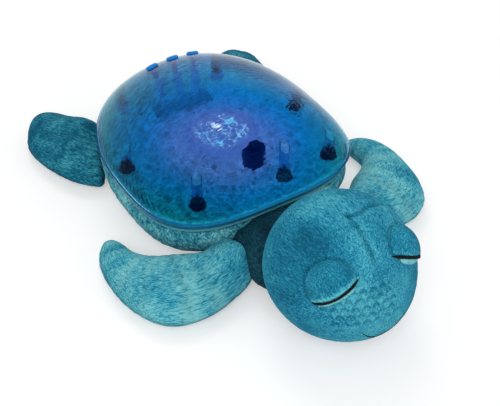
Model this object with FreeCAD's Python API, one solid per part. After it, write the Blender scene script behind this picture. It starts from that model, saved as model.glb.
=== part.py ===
import FreeCAD, Part
import math
import os

os.makedirs("parts", exist_ok=True)
Vec = FreeCAD.Vector
UP = Vec(0, 0, 1)

# Units are millimetres. The floor is z = 0, the head points along -Y and the turtle's left is +X.
# The origin is the point of the floor under the middle of the glowing lens.

# Shell outline in plan
shell_half_width = 98.5
shell_front_reach = 89.0
shell_rear_reach = 126.0
front_squareness = 3.3
rear_squareness = 2.1
outline_arcs = 24

# Shell
rim_height = 45.0
edge_height = 4.0
edge_tuck = 1.6
dome_rise = 60.0
dome_fullness = 0.84
dome_sections = 12
dome_last_lift = 88.0
shell_wall = 2.4
boss_radius = 4.2
boss_bore = 1.35
boss_bore_depth = 13.0
boss_places = (
    (-57.0, -58.0),
    (20.0, -64.0),
    (67.0, -60.0),
    (-83.0, 12.0),
    (83.0, 12.0),
    (-48.0, 90.0),
    (48.0, 90.0),
)
collar_radius = 7.0
collar_height = 6.0
collar_gap = 0.1

# Base tray
tray_floor = 10.0
tray_wall = 2.2
tray_foot_inset = 22.0
tray_heel_inset = 15.0
tray_heel_rise = 5.0
tray_top_inset = 10.0
tray_neck_drop = 6.8
tray_neck_inset = 8.0
flange_thickness = 2.5
flange_inset = 1.9
tower_radius = 4.6
tower_bore = 3.0
tower_web = 3.0
screw_hole = 1.6
support_radius = 3.0
cover_boss_radius = 4.0
cover_boss_height = 8.0

# Screws: big ones hold deck and shell to the tray, small ones hold the inner pieces
big_head_height = 1.4
big_head_gap = 0.3
thread_gap = 0.1
small_head_radius = 2.2
small_head_height = 1.2
small_shank_radius = 1.05
small_pilot = 1.15
small_clearance = 1.3
cover_head_radius = 2.8
cover_shank_length = 8.2
slot_width = 0.6
slot_depth = 0.5

# Deck plate
deck_thickness = 2.0
deck_gap = 0.3
cup_stud_depth = 4.0
cup_stud_radius = 2.6
sleeve_gap = 0.5

# Battery box in the tray
cell_length = 50.5
cell_diameter = 14.5
cell_count = 3
cell_gap = 0.8
cell_side_gap = 0.6
cell_lift = 0.5
contact_room = 4.0
box_wall = 1.8
box_centre_y = 44.0
contact_thickness = 0.4
contact_width = 9.0
contact_reach = 5.0
contact_dimple = 1.6
spring_width = 5.0
spring_thickness = 0.7
spring_foot = 4.2
cell_nub = 1.2
cell_nub_radius = 2.7
cover_gap = 0.3
cover_tab_width = 12.0
cover_tab_length = 8.0
cover_tongue_width = 6.0
cover_tongue_root = 2.0
cover_tongue_reach = 1.5
cover_tongue_gap = 0.2
cover_tongue_thickness = 1.2
cover_tongue_spacing = 36.0

# Lamp cup, lens and ring gear
cup_radius = 24.0
cup_wall = 1.6
cup_height = 11.0
cup_foot_radius = 29.0
cup_foot_thickness = 2.0
cup_screw_circle = 26.5
cup_screw_turns = (90.0, 210.0, 330.0)
lamp_board_radius = 20.0
board_thickness = 1.6
led_radius = 2.5
led_height = 5.0
led_circle = 7.0
led_count = 3
cup_ledge = 1.4
beam_lens_rim = 1.4
beam_lens_crown = 2.2
beam_lens_sink = 0.6
beam_lens_gap = 0.15
running_gap = 0.08
axial_gap = 0.1
gear_module = 1.0
ring_teeth = 60
ring_thickness = 2.0
skirt_thickness = 1.9
skirt_depth = 4.0
wave_lens_thickness = 2.0
wave_bump_height = 0.7
wave_lens_overlap = 2.3
wave_bump_radius = 3.2
wave_bump_rings = (0.45, 0.78)
wave_bump_count = 9
hook_turns = (20.0, 140.0, 250.0)
hook_width = 6.0
hook_post = 2.0
hook_gap = 0.5
hook_overlap = 1.6
hook_lip = 1.4

# Gear train
pressure_angle = 25.0
addendum = 0.8
dedendum = 1.05
backlash = 0.16
centre_slack = 0.06
small_teeth = 12
small_gear_face = 3.0
spindle_radius = 1.5
spindle_gap = 0.05
train_turn = -75.0
drive_module = 0.8
big_teeth = 30
big_gear_face = 3.0
motor_teeth = 10
motor_turn = 200.0
gear_below_deck = 2.0
cover_radius = 9.6
cover_wall = 1.6
cover_cap_radius = 4.5
cover_cap_height = 3.6
cover_roof_gap = 0.4
spindle_above = 5.0
spindle_collar = 3.0
spindle_sleeve = 2.6
ring_overlap = 0.5

# Motor and its bracket
motor_radius = 10.0
motor_length = 23.0
motor_nose_radius = 3.0
motor_nose_height = 1.6
motor_shaft_radius = 1.0
motor_edge_round = 1.5
motor_shaft_sink = 7.0
motor_bore_depth = 8.0
bracket_plate = 1.6
bracket_below_gear = 2.4
pillar_radius = 2.4
bracket_x = (-22.0, 24.0)
bracket_y = (-54.0, -24.0)
bracket_margin = 3.4
bracket_screw_depth = 5.0

# Speaker
speaker_x = 53.0
speaker_y = -12.0
speaker_radius = 18.0
speaker_flange = 2.0
speaker_depth = 9.0
speaker_magnet_radius = 9.0
speaker_magnet_height = 6.0
speaker_clamp_width = 2.4
speaker_clamp_lip = 1.2
speaker_seat_gap = 0.1
grille_hole = 1.5
grille_rings = (0.0, 6.0, 12.0)

# Main board
main_board_x = (-72.0, -36.0)
main_board_y = (-30.0, 24.0)
main_board_lift = 6.0
main_board_margin = 4.0
plug_size = 5.0
plug_places = (-20.0, -12.0, -4.0, 4.0)
lead_radius = 0.9
lead_hole_radius = 3.0

# Push buttons and their board
button_spacing = 20.0
button_y = 83.0
button_long = 11.0
button_short = 8.0
button_stand = 2.2
button_gap = 0.35
hole_reach = 4.8
button_flange = 1.6
button_flange_thickness = 1.4
button_flange_drop = 0.8
button_travel = 0.8
button_round = 1.7
button_stem_radius = 2.0
button_board_drop = 17.0
button_board_half = 8.0
button_board_half_width = 6.0
jumper_radius = 0.6
switch_size = 6.0
switch_height = 3.5
switch_plunger_radius = 1.7
switch_plunger_height = 0.8
switch_rest_gap = 0.3
button_bracket_foot = 2.0
bracket_column = 6.0
bracket_foot_half = 27.0
bracket_foot_depth = 14.0

# Plush torso: height above the floor and inset from the shell outline
torso_levels = (
    (0.0, 30.0),
    (2.5, 23.0),
    (7.0, 15.0),
    (13.0, 9.0),
    (20.0, 5.6),
    (28.0, 4.4),
    (34.0, 5.2),
    (38.0, 7.4),
)
soft_gap = 0.3
binding_inset = 2.6
binding_thickness = 3.7

# Belly opening and its flap
belly_half_width = 34.0
belly_front_y = 11.0
belly_rear_y = 69.0
flap_overlap = 3.5
flap_thickness = 3.0
flap_lift = 0.5
flap_room = 1.1
flap_corner = 3.0
tape_thickness = 0.8
tape_width = 2.6
tape_length = 56.0
tape_margin = 0.4

# Neck: distance along Y, middle in X, half width, top
neck_sections = (
    (-74.0, 0.0, 42.0, 38.0),
    (-90.0, -1.0, 43.0, 41.0),
    (-107.0, -2.0, 42.0, 50.0),
    (-125.0, -4.0, 40.0, 58.0),
    (-146.0, -6.0, 36.0, 60.0),
)
neck_squareness = 0.85
neck_arcs = 8

# Head
head_x = -6.0
head_y = -177.0
head_radius = 55.8
head_middle = 54.0
head_yaw = 0.5
head_roll = -2.5
head_arcs = 12
head_steps = 10
muzzle_reach = 3.0
muzzle_drop = 16.0
cheek_fullness = 1.1
floor_cut = 0.5

# Eyelids: direction from the middle of the head, degrees from straight ahead and upwards.
# Each lid is part of a ball whose middle lies that far under the skin of the head.
eye_side = 42.6
eye_rise = 30.6
eyelid_sink = 12.6
eyelid_radius = 21.3
lower_lid_sink = 16.4
lower_lid_radius = 29.3
lower_lid_shift = 14.6
lash_drop = 5.4
lash_width = 1.3
lash_inset = 0.6
lash_seam = 0.1
lash_tilt = -34.0
mouth_side = 19.0
mouth_corner = -10.0
mouth_middle = -25.0
mouth_thread = 0.8
mouth_thread_radius = 2.4

# Front flipper, right side: outer edge, inner edge and height of each section
front_flipper_sections = (
    ((-30.0, -71.5), (-57.0, -69.5), 25.0),
    ((-33.0, -90.5), (-63.0, -78.5), 28.0),
    ((-42.0, -109.5), (-71.0, -78.5), 29.0),
    ((-58.0, -124.5), (-79.0, -74.5), 30.0),
    ((-80.0, -131.5), (-87.0, -66.5), 30.0),
    ((-104.0, -132.5), (-95.0, -60.5), 29.0),
    ((-125.0, -122.5), (-103.0, -54.5), 28.0),
    ((-138.0, -103.5), (-108.0, -47.5), 26.0),
    ((-143.0, -79.5), (-110.0, -39.5), 23.0),
    ((-142.0, -55.5), (-111.0, -31.5), 20.0),
    ((-137.0, -35.5), (-112.0, -24.5), 16.0),
    ((-129.0, -21.5), (-115.0, -17.5), 11.0),
    ((-123.0, -14.5), (-119.0, -14.5), 5.0),
)
shoulder_x = -42.0
shoulder_z = 13.0
front_lift = 15.0

# Rear flipper, right side: front edge, rear edge and height of each section
rear_flipper_sections = (
    ((-84.0, 39.0), (-52.0, 103.0), 24.0),
    ((-101.0, 49.0), (-59.0, 122.0), 27.0),
    ((-114.0, 63.0), (-64.0, 134.0), 29.0),
    ((-121.0, 79.0), (-72.0, 142.0), 28.0),
    ((-126.0, 97.0), (-79.0, 152.0), 26.0),
    ((-128.0, 115.0), (-87.0, 162.0), 24.0),
    ((-126.0, 131.0), (-96.0, 167.0), 20.0),
    ((-120.0, 145.0), (-105.0, 165.0), 14.0),
    ((-115.0, 154.0), (-111.0, 158.0), 6.0),
)
rear_seam_turn = 155.0
rear_hinge_height = 25.0
rear_lift = 20.0
flipper_edge_share = 0.38
flipper_gap = 0.4
sweep_steps = 3

# Heights that follow from the sizes above
shell_top = rim_height + edge_height + dome_rise
deck_top = rim_height + deck_thickness
cup_top = deck_top + cup_height
flange_bottom = rim_height - flange_thickness
neck_bottom = rim_height - tray_neck_drop
floor_top = tray_floor + tray_wall
board_bottom = floor_top + main_board_lift
board_top = board_bottom + board_thickness
gear_top = rim_height - gear_below_deck
gear_bottom = gear_top - big_gear_face
bracket_top = gear_bottom - bracket_below_gear
motor_top = bracket_top - bracket_plate
ring_bottom = cup_top + axial_gap
ring_radius = ring_teeth * gear_module / 2
small_radius = small_teeth * gear_module / 2
train_distance = ring_radius + small_radius + centre_slack
motor_distance = (big_teeth + motor_teeth) * drive_module / 2 + centre_slack
cell_pitch = cell_diameter + cell_gap
box_half_x = cell_length / 2 + contact_room
box_half_y = (cell_count * cell_diameter + (cell_count - 1) * cell_gap) / 2 + cell_side_gap
cell_axis = floor_top + cell_lift + cell_diameter / 2
box_roof = cell_axis + cell_diameter / 2 + cell_lift
big = 400.0


def polar(radius, turn, z=0.0):
    angle = math.radians(turn)
    return Vec(radius * math.cos(angle), radius * math.sin(angle), z)


train_axis = polar(train_distance, train_turn)
motor_axis = train_axis + polar(motor_distance, motor_turn)


# Helpers for solids

def box(low, high):
    size = Vec(*high) - Vec(*low)
    return Part.makeBox(size.x, size.y, size.z, Vec(*low))


def post(x, y, low, high, radius):
    return Part.makeCylinder(radius, high - low, Vec(x, y, low))


def tube(x, y, low, high, outer, inner):
    return post(x, y, low, high, outer).cut(post(x, y, low - 1, high + 1, inner))


def fused(shapes):
    first, *others = shapes
    return first.multiFuse(others).removeSplitter() if others else first


def largest(shape):
    return max(shape.Solids, key=lambda solid: solid.Volume)


def arc_loop(points):
    edges = []
    for k in range(0, len(points), 2):
        end = points[(k + 2) % len(points)]
        edges.append(Part.Arc(points[k], points[k + 1], end).toShape())
    return Part.Wire(edges)


def outline_reach(turn, inset):
    side = abs(math.cos(math.radians(turn)))
    along = math.sin(math.radians(turn))
    squareness = rear_squareness if along >= 0 else front_squareness
    reach = shell_rear_reach if along >= 0 else shell_front_reach
    across = (side / (shell_half_width - inset)) ** squareness
    lengthways = (abs(along) / (reach - inset)) ** squareness
    return (across + lengthways) ** (-1 / squareness)


def outline_wire(inset, z, scale=1.0):
    count = 2 * outline_arcs
    turns = [90 + 360 * k / count for k in range(count)]
    return arc_loop([polar(scale * outline_reach(turn, inset), turn, z) for turn in turns])


def outline_plate(inset, low, high):
    return Part.Face(outline_wire(inset, low)).extrude(Vec(0, 0, high - low))


def outline_ring(outer_inset, inner_inset, low, high):
    return outline_plate(outer_inset, low, high).cut(outline_plate(inner_inset, low - 1, high + 1))


def loft(sections):
    return Part.makeLoft(sections, True, False)


def dome_height(x, y):
    turn = math.degrees(math.atan2(y, x))
    share = math.hypot(x, y) / outline_reach(turn, 0)
    return rim_height + edge_height + dome_rise * (1 - share ** 2) ** dome_fullness


def dome_solid(inset, foot):
    sections = [outline_wire(inset + edge_tuck, foot)]
    sections.append(outline_wire(inset + edge_tuck / 4, rim_height + edge_height / 2.5))
    for step in range(dome_sections + 1):
        lift = math.radians(dome_last_lift * step / dome_sections)
        z = rim_height + edge_height + (dome_rise - inset) * math.sin(lift) ** (2 * dome_fullness)
        sections.append(outline_wire(inset, z, math.cos(lift)))
    return loft(sections)


# Button frame: each button stands square on the shell

def button_axis(x):
    step = 0.5
    along = (dome_height(x, button_y + step) - dome_height(x, button_y - step)) / (2 * step)
    across = (dome_height(x + step, button_y) - dome_height(x - step, button_y)) / (2 * step)
    return Vec(-across, -along, 1).normalize()


def at_button(shape, x):
    placed = shape.copy()
    turn = FreeCAD.Rotation(UP, button_axis(x))
    foot = Vec(x, button_y, dome_height(x, button_y))
    placed.Placement = FreeCAD.Placement(foot, turn).multiply(placed.Placement)
    return placed


def oval_post(half_long, half_short, low, high):
    flat = half_long - half_short
    ends = [post(side * flat, 0, low, high, half_short) for side in (-1, 1)]
    middle = box((-flat, -half_short, low), (flat, half_short, high))
    return fused(ends + [middle])


button_places = (-button_spacing, 0.0, button_spacing)


# Light unit

def shell_dome():
    outer = dome_solid(0, rim_height)
    inner = dome_solid(shell_wall, rim_height - 1)
    bosses = [post(x, y, deck_top, shell_top, boss_radius) for x, y in boss_places]
    bosses = [boss.common(outer) for boss in bosses]
    shell = outer.cut(inner).multiFuse(bosses)
    for x, y in boss_places:
        shell = shell.cut(post(x, y, deck_top - 1, deck_top + boss_bore_depth, boss_bore))
    for x in button_places:
        hole = oval_post(button_long / 2 + button_gap, button_short / 2 + button_gap, -hole_reach, hole_reach)
        shell = shell.cut(at_button(hole, x))
    return largest(shell)


def tray_envelope(extra):
    sections = [outline_wire(tray_foot_inset - extra, tray_floor - extra)]
    sections.append(outline_wire(tray_heel_inset - extra, tray_floor + tray_heel_rise - extra))
    sections.append(outline_wire(tray_top_inset - extra, neck_bottom))
    return Part.makeLoft(sections, True, True)


def base_tray():
    outer = tray_envelope(0)
    neck = outline_plate(tray_neck_inset, neck_bottom, flange_bottom)
    flange = outline_plate(flange_inset, flange_bottom, rim_height)
    hollow = tray_envelope(-tray_wall)
    mouth = outline_plate(tray_top_inset + tray_wall, neck_bottom - 1, rim_height + 1)
    tray = fused([outer, neck, flange]).cut(hollow).cut(mouth)
    envelope = fused([outer, neck])
    towers = [post(x, y, tray_floor, rim_height, tower_radius).common(envelope) for x, y in boss_places]
    box_outer = box((-box_half_x - box_wall, box_centre_y - box_half_y - box_wall, tray_floor),
                    (box_half_x + box_wall, box_centre_y + box_half_y + box_wall, box_roof + box_wall))
    supports = [post(x, y, tray_floor, board_bottom, support_radius) for x, y in main_board_screws()]
    cover_boss = post(0, cover_screw_y(), floor_top, floor_top + cover_boss_height, cover_boss_radius)
    tray = tray.multiFuse(towers + [box_outer, cover_boss] + supports)
    for x, y in boss_places:
        tray = tray.cut(post(x, y, tray_floor - 1, rim_height - tower_web, tower_bore))
        tray = tray.cut(post(x, y, tray_floor, rim_height + 1, screw_hole))
    for x, y in main_board_screws():
        tray = tray.cut(post(x, y, floor_top + 1, board_bottom + 1, small_pilot))
    tray = tray.cut(box((-box_half_x, box_centre_y - box_half_y, tray_floor - 1),
                        (box_half_x, box_centre_y + box_half_y, box_roof)))
    tray = tray.cut(cover_tab(0.0))
    tray = tray.cut(post(0, cover_screw_y(), floor_top - 1, floor_top + cover_boss_height - 1, small_pilot))
    for side in (-1, 1):
        tray = tray.cut(cover_tongue(side, box_wall + 1, cover_tongue_gap))
    for ring in grille_rings:
        count = max(1, int(ring))
        for k in range(count):
            hole = Vec(speaker_x, speaker_y, 0) + polar(ring, 360 * k / count)
            tray = tray.cut(post(hole.x, hole.y, tray_floor - 1, floor_top + 1, grille_hole))
    return largest(tray)


def cover_screw_y():
    return box_centre_y - box_half_y - cover_tab_length / 2 - box_wall / 2


def cover_tab(gap):
    front = box_centre_y - box_half_y - cover_tab_length - box_wall / 2
    return box((-cover_tab_width / 2 + gap, front + gap, tray_floor - (0 if gap else 1)),
               (cover_tab_width / 2 - gap, box_centre_y - box_half_y + 1, floor_top))


def cover_tongue(side, reach, gap):
    x = side * cover_tongue_spacing / 2
    rear = box_centre_y + box_half_y
    half = cover_tongue_width / 2 + gap
    return box((x - half, rear - cover_tongue_root, floor_top - gap),
               (x + half, rear + reach, floor_top + cover_tongue_thickness + gap))


def battery_cover():
    plate = box((-box_half_x + cover_gap, box_centre_y - box_half_y + cover_gap, tray_floor),
                (box_half_x - cover_gap, box_centre_y + box_half_y - cover_gap, floor_top))
    tongues = [cover_tongue(side, cover_tongue_reach, 0.0) for side in (-1, 1)]
    cover = fused([plate, cover_tab(cover_gap)] + tongues)
    return cover.cut(post(0, cover_screw_y(), tray_floor - 1, floor_top + 1, screw_hole))


def screw(x, y, head_low, tip, head_radius, shank_radius, head_height):
    direction = 1 if tip > head_low else -1
    low, high = sorted((head_low, head_low + direction * head_height))
    shank_low, shank_high = sorted((head_low, tip))
    slot = box((x - head_radius, y - slot_width / 2, head_low - slot_depth),
               (x + head_radius, y + slot_width / 2, head_low + slot_depth))
    head = post(x, y, low, high, head_radius)
    shank = post(x, y, shank_low, shank_high, shank_radius)
    return fused([head, shank]).cut(slot)


def small_screw(x, y, seat, tip):
    head = seat + small_head_height
    return screw(x, y, head, tip, small_head_radius, small_shank_radius, small_head_height)


def unit_screws():
    head = rim_height - tower_web - big_head_height
    tip = deck_top + boss_bore_depth - 1
    return [screw(x, y, head, tip, tower_bore - big_head_gap, boss_bore - thread_gap, big_head_height)
            for x, y in boss_places]


def cover_screw():
    low = tray_floor - small_head_height
    tip = low + cover_shank_length
    return screw(0, cover_screw_y(), low, tip, cover_head_radius, small_shank_radius, small_head_height)


def deck_plate():
    deck = outline_plate(edge_tuck + shell_wall + deck_gap, rim_height, deck_top)
    studs = [post(x, y, rim_height - cup_stud_depth, rim_height, cup_stud_radius) for x, y in cup_screws()]
    deck = fused([deck] + studs)
    for x, y in cup_screws() + bracket_screws():
        deck = deck.cut(post(x, y, rim_height - cup_stud_depth - 1, deck_top + 1, small_pilot))
    for x, y in boss_places:
        deck = deck.cut(post(x, y, rim_height - 1, deck_top + 1, screw_hole))
    sleeve_hole = spindle_sleeve + sleeve_gap
    deck = deck.cut(post(train_axis.x, train_axis.y, rim_height - 1, deck_top + 1, sleeve_hole))
    for x, y in lead_holes:
        deck = deck.cut(post(x, y, rim_height - 1, deck_top + 1, lead_hole_radius))
    return largest(deck)


def boss_collars():
    collars = []
    for x, y in boss_places:
        cone = Part.makeCone(collar_radius, boss_radius + 1.2, collar_height, Vec(x, y, deck_top))
        bore = post(x, y, deck_top - 1, deck_top + collar_height + 1, boss_radius + collar_gap)
        collars.append(cone.cut(bore))
    return collars


def cup_screws():
    spots = [polar(cup_screw_circle, turn) for turn in cup_screw_turns]
    return [(spot.x, spot.y) for spot in spots]


def bracket_screws():
    return [(x, y) for x in bracket_x for y in bracket_y]


def deck_screws():
    cup_seat = deck_top + cup_foot_thickness
    screws = [small_screw(x, y, cup_seat, rim_height - cup_stud_depth + 1) for x, y in cup_screws()]
    bracket_tip = rim_height - bracket_screw_depth
    return screws + [small_screw(x, y, deck_top, bracket_tip) for x, y in bracket_screws()]


def lamp_cup():
    wall = tube(0, 0, deck_top, cup_top, cup_radius, cup_radius - cup_wall)
    foot = tube(0, 0, deck_top, deck_top + cup_foot_thickness, cup_foot_radius, cup_radius - cup_wall / 2)
    seat = beam_lens_seat()
    ledge = tube(0, 0, seat - cup_ledge, seat, cup_radius - cup_wall / 2, cup_radius - cup_wall - cup_ledge)
    cup = fused([wall, foot, ledge])
    for x, y in cup_screws():
        cup = cup.cut(post(x, y, deck_top - 1, deck_top + cup_foot_thickness + 1, small_clearance))
    return cup


def beam_lens_seat():
    return cup_top - beam_lens_rim - beam_lens_crown - beam_lens_sink


def beam_lens():
    radius = cup_radius - cup_wall - beam_lens_gap
    seat = beam_lens_seat()
    crown_radius = (radius ** 2 + beam_lens_crown ** 2) / (2 * beam_lens_crown)
    ball = Part.makeSphere(crown_radius, Vec(0, 0, seat + beam_lens_rim + beam_lens_crown - crown_radius))
    return post(0, 0, seat, cup_top, radius).common(ball)


def lamp_board():
    return post(0, 0, deck_top, deck_top + board_thickness, lamp_board_radius)


def lamp_leds():
    leds = []
    base = deck_top + board_thickness
    for k in range(led_count):
        spot = polar(led_circle, 90 + 360 * k / led_count)
        body = post(spot.x, spot.y, base, base + led_height - led_radius, led_radius)
        tip = Part.makeSphere(led_radius, Vec(spot.x, spot.y, base + led_height - led_radius))
        leds.append(fused([body, tip]))
    return leds


# Gears

def involute_turn(radius, base):
    cosine = min(1.0, base / radius)
    angle = math.acos(cosine)
    return math.tan(angle) - angle


def gear_blank(teeth, module, turn):
    pitch = teeth * module / 2
    base = pitch * math.cos(math.radians(pressure_angle))
    tip = pitch + addendum * module
    root = pitch - dedendum * module
    start = max(base, root)
    half = (math.pi * module / 2 - backlash / 2) / (2 * pitch) + involute_turn(pitch, base)
    edges = []

    def spot(radius, angle):
        return Vec(radius * math.cos(angle), radius * math.sin(angle), 0)

    for k in range(teeth):
        middle = math.radians(turn) + 2 * math.pi * k / teeth
        following = middle + 2 * math.pi / teeth
        radii = (start, (start + tip) / 2, tip)
        rising = [spot(r, middle - half + involute_turn(r, base)) for r in radii]
        falling = [spot(r, middle + half - involute_turn(r, base)) for r in reversed(radii)]
        flank_start = involute_turn(start, base)
        if start > root:
            edges.append(Part.makeLine(spot(root, middle - half), rising[0]))
        edges.append(Part.Arc(*rising).toShape())
        edges.append(Part.Arc(rising[2], spot(tip, middle), falling[0]).toShape())
        edges.append(Part.Arc(*falling).toShape())
        if start > root:
            edges.append(Part.makeLine(falling[2], spot(root, middle + half)))
        gap_start = spot(root, middle + half - flank_start)
        gap_middle = spot(root, (middle + following) / 2)
        gap_end = spot(root, following - half + flank_start)
        edges.append(Part.Arc(gap_start, gap_middle, gap_end).toShape())
    return Part.Face(Part.Wire(edges))


def gear(teeth, module, turn, centre, low, face):
    blank = gear_blank(teeth, module, turn)
    blank.translate(Vec(centre.x, centre.y, low))
    return blank.extrude(Vec(0, 0, face))


def lens_ring_gear():
    teeth = gear(ring_teeth, gear_module, train_turn, Vec(0, 0, 0), ring_bottom, ring_thickness)
    ledge_top = ring_bottom + ring_thickness / 2
    seat = tube(0, 0, ring_bottom, ledge_top, wave_lens_radius() + 1, cup_radius - cup_wall)
    room = wave_lens_radius() + axial_gap
    rim = teeth.cut(post(0, 0, ring_bottom - 1, ring_bottom + ring_thickness + 1, room))
    inner = cup_radius + running_gap
    skirt = tube(0, 0, ring_bottom - skirt_depth, ring_bottom + 0.5, inner + skirt_thickness, inner)
    return fused([rim, seat, skirt])


def wave_lens_radius():
    return cup_radius + wave_lens_overlap


def wave_lens():
    low = ring_bottom + ring_thickness / 2
    radius = wave_lens_radius()
    top = low + wave_lens_thickness
    lens = post(0, 0, low, top, radius)
    ripples = []
    depth = wave_bump_radius - wave_bump_height
    for share in wave_bump_rings:
        for k in range(wave_bump_count):
            spot = polar(share * radius, 360 * (k + share) / wave_bump_count)
            ripples.append(Part.makeSphere(wave_bump_radius, Vec(spot.x, spot.y, top - depth)))
    ripples = [ripple.common(post(0, 0, low + 0.2, top + 2, radius)) for ripple in ripples]
    return largest(lens.multiFuse(ripples))


def lens_hooks():
    hooks = []
    inner = ring_radius + addendum * gear_module
    top = ring_bottom + ring_thickness + soft_gap
    for turn in hook_turns:
        upright = box((inner + hook_gap, -hook_width / 2, deck_top),
                      (inner + hook_gap + hook_post, hook_width / 2, top + hook_lip))
        lip = box((inner - hook_overlap, -hook_width / 2, top), (inner + 1, hook_width / 2, top + hook_lip))
        hook = fused([upright, lip])
        hook.rotate(Vec(0, 0, 0), UP, turn)
        hooks.append(hook)
    return hooks


def small_gear_low():
    return ring_bottom - ring_overlap


def small_gear_top():
    return small_gear_low() + small_gear_face


def reduction_gear():
    x, y = train_axis.x, train_axis.y
    low = small_gear_low()
    small_turn = train_turn + 180 + 180 / small_teeth
    small = gear(small_teeth, gear_module, small_turn, train_axis, low, small_gear_face)
    large = gear(big_teeth, drive_module, motor_turn, train_axis, gear_bottom, big_gear_face)
    spindle = post(x, y, motor_top, small_gear_top() + spindle_above, spindle_radius)
    collar = post(x, y, bracket_top + soft_gap, gear_bottom, spindle_collar)
    sleeve = post(x, y, gear_top, low, spindle_sleeve)
    return fused([large, collar, spindle, sleeve, small])


def pinion_cover():
    x, y = train_axis.x, train_axis.y
    roof = small_gear_top() + cover_roof_gap
    body = tube(x, y, deck_top, roof, cover_radius, cover_radius - cover_wall)
    plate = post(x, y, roof, roof + cover_wall, cover_radius)
    cap_foot = Vec(x, y, roof + cover_wall)
    cap = Part.makeCone(cover_cap_radius, cover_cap_radius - 0.6, cover_cap_height, cap_foot)
    cover = fused([body, plate, cap])
    cover = cover.cut(post(0, 0, deck_top - 1, big, ring_radius + addendum * gear_module + soft_gap))
    bore_top = small_gear_top() + spindle_above + cover_roof_gap
    return largest(cover.cut(post(x, y, roof - 1, bore_top, spindle_radius + spindle_gap)))


def motor_can():
    x, y = motor_axis.x, motor_axis.y
    can = post(x, y, motor_top - motor_length, motor_top, motor_radius)
    can = can.makeFillet(motor_edge_round, [edge for edge in can.Edges if len(edge.Vertexes) == 1])
    nose = post(x, y, motor_top - 1, motor_top + motor_nose_height, motor_nose_radius)
    motor = fused([can, nose])
    bore_low = motor_top - motor_bore_depth
    return motor.cut(post(x, y, bore_low, motor_top + motor_bore_depth, motor_shaft_radius + spindle_gap))


def motor_pinion():
    turn = motor_turn + 180 + 180 / motor_teeth
    teeth = gear(motor_teeth, drive_module, turn, motor_axis, gear_bottom, big_gear_face)
    shaft = post(motor_axis.x, motor_axis.y, motor_top - motor_shaft_sink, gear_top + 1, motor_shaft_radius)
    return fused([teeth, shaft])


def motor_bracket():
    plate = box((bracket_x[0] - bracket_margin, bracket_y[0] - bracket_margin, motor_top),
                (bracket_x[1] + bracket_margin, bracket_y[1] + bracket_margin, bracket_top))
    pillars = [post(x, y, motor_top, rim_height, pillar_radius) for x, y in bracket_screws()]
    bracket = fused([plate] + pillars)
    for x, y in bracket_screws():
        bracket = bracket.cut(post(x, y, rim_height - bracket_screw_depth - 1, rim_height + 1, small_pilot))
    nose_hole = motor_nose_radius + axial_gap
    bracket = bracket.cut(post(motor_axis.x, motor_axis.y, motor_top - 1, bracket_top + 1, nose_hole))
    spindle_hole = spindle_radius + spindle_gap
    return bracket.cut(post(train_axis.x, train_axis.y, motor_top - 1, bracket_top + 1, spindle_hole))


# Speaker

def speaker_frame():
    x, y = speaker_x, speaker_y
    low = floor_top
    flange = tube(x, y, low, low + speaker_flange, speaker_radius, speaker_radius - 2.5)
    foot = Vec(x, y, low + speaker_flange)
    height = speaker_depth - speaker_flange
    outer = Part.makeCone(speaker_radius - 2, speaker_magnet_radius, height, foot)
    inner = Part.makeCone(speaker_radius - 3, speaker_magnet_radius - 1, height, foot)
    basket = outer.cut(inner)
    for k in range(4):
        window = box((6, -3.5, low + speaker_flange + 1.2), (speaker_radius, 3.5, low + speaker_depth - 1.2))
        window.rotate(Vec(0, 0, 0), UP, 45 + 90 * k)
        window.translate(Vec(x, y, 0))
        basket = basket.cut(window)
    return fused([flange, basket])


def speaker_cone():
    x, y = speaker_x, speaker_y
    low = floor_top + 0.6
    outer = Part.makeCone(speaker_radius - 2.8, 5.0, 4.6, Vec(x, y, low))
    inner = Part.makeCone(speaker_radius - 3.8, 4.2, 4.6, Vec(x, y, low - 0.6))
    cap = Part.makeSphere(5.4, Vec(x, y, low + 1.4)).common(post(x, y, low + 2.4, low + 5.2, 5.2))
    return largest(outer.cut(inner).fuse(cap))


def speaker_magnet():
    low = floor_top + speaker_depth
    magnet = post(speaker_x, speaker_y, low, low + speaker_magnet_height, speaker_magnet_radius)
    return magnet.makeChamfer(0.6, [edge for edge in magnet.Edges if len(edge.Vertexes) == 1])


def speaker_clamp():
    x, y = speaker_x, speaker_y
    low = floor_top
    outer = speaker_radius + speaker_clamp_width
    top = low + speaker_flange + speaker_clamp_lip
    wall = tube(x, y, low, top, outer, speaker_radius + speaker_seat_gap)
    lip = tube(x, y, low + speaker_flange, top, outer, speaker_radius - speaker_clamp_lip)
    return fused([wall, lip])


# Boards, cells and contacts

def main_board_screws():
    xs = (main_board_x[0] + main_board_margin, main_board_x[1] - main_board_margin)
    ys = (main_board_y[0] + main_board_margin, main_board_y[1] - main_board_margin)
    return [(x, y) for x in xs for y in ys]


def main_board():
    board = box((main_board_x[0], main_board_y[0], board_bottom),
                (main_board_x[1], main_board_y[1], board_top))
    for x, y in main_board_screws():
        board = board.cut(post(x, y, board_bottom - 1, board_top + 1, small_clearance))
    return board


def board_screws():
    return [small_screw(x, y, board_top, floor_top + 2) for x, y in main_board_screws()]


def board_parts():
    right = main_board_x[1]
    rear = main_board_y[1]
    middle = (main_board_x[0] + main_board_x[1]) / 2
    half = plug_size / 2
    parts = [box((right - plug_size, y - half, board_top), (right, y + half, board_top + plug_size))
             for y in plug_places]
    parts.append(box((button_plug_x() - half, rear - plug_size, board_top),
                     (button_plug_x() + half, rear, board_top + plug_size)))
    parts.append(box((middle - 8, -8, board_top), (middle + 4, 4, board_top + 1.6)))
    parts.append(box((middle - 12, -24, board_top), (middle - 5, -18, board_top + 1.4)))
    parts.append(post(middle - 6, 14, board_top, board_top + 8, 3.2))
    parts.append(post(middle + 3, -18, board_top, board_top + 6, 2.5))
    return parts


def button_plug_x():
    return main_board_x[0] + 14


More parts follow.
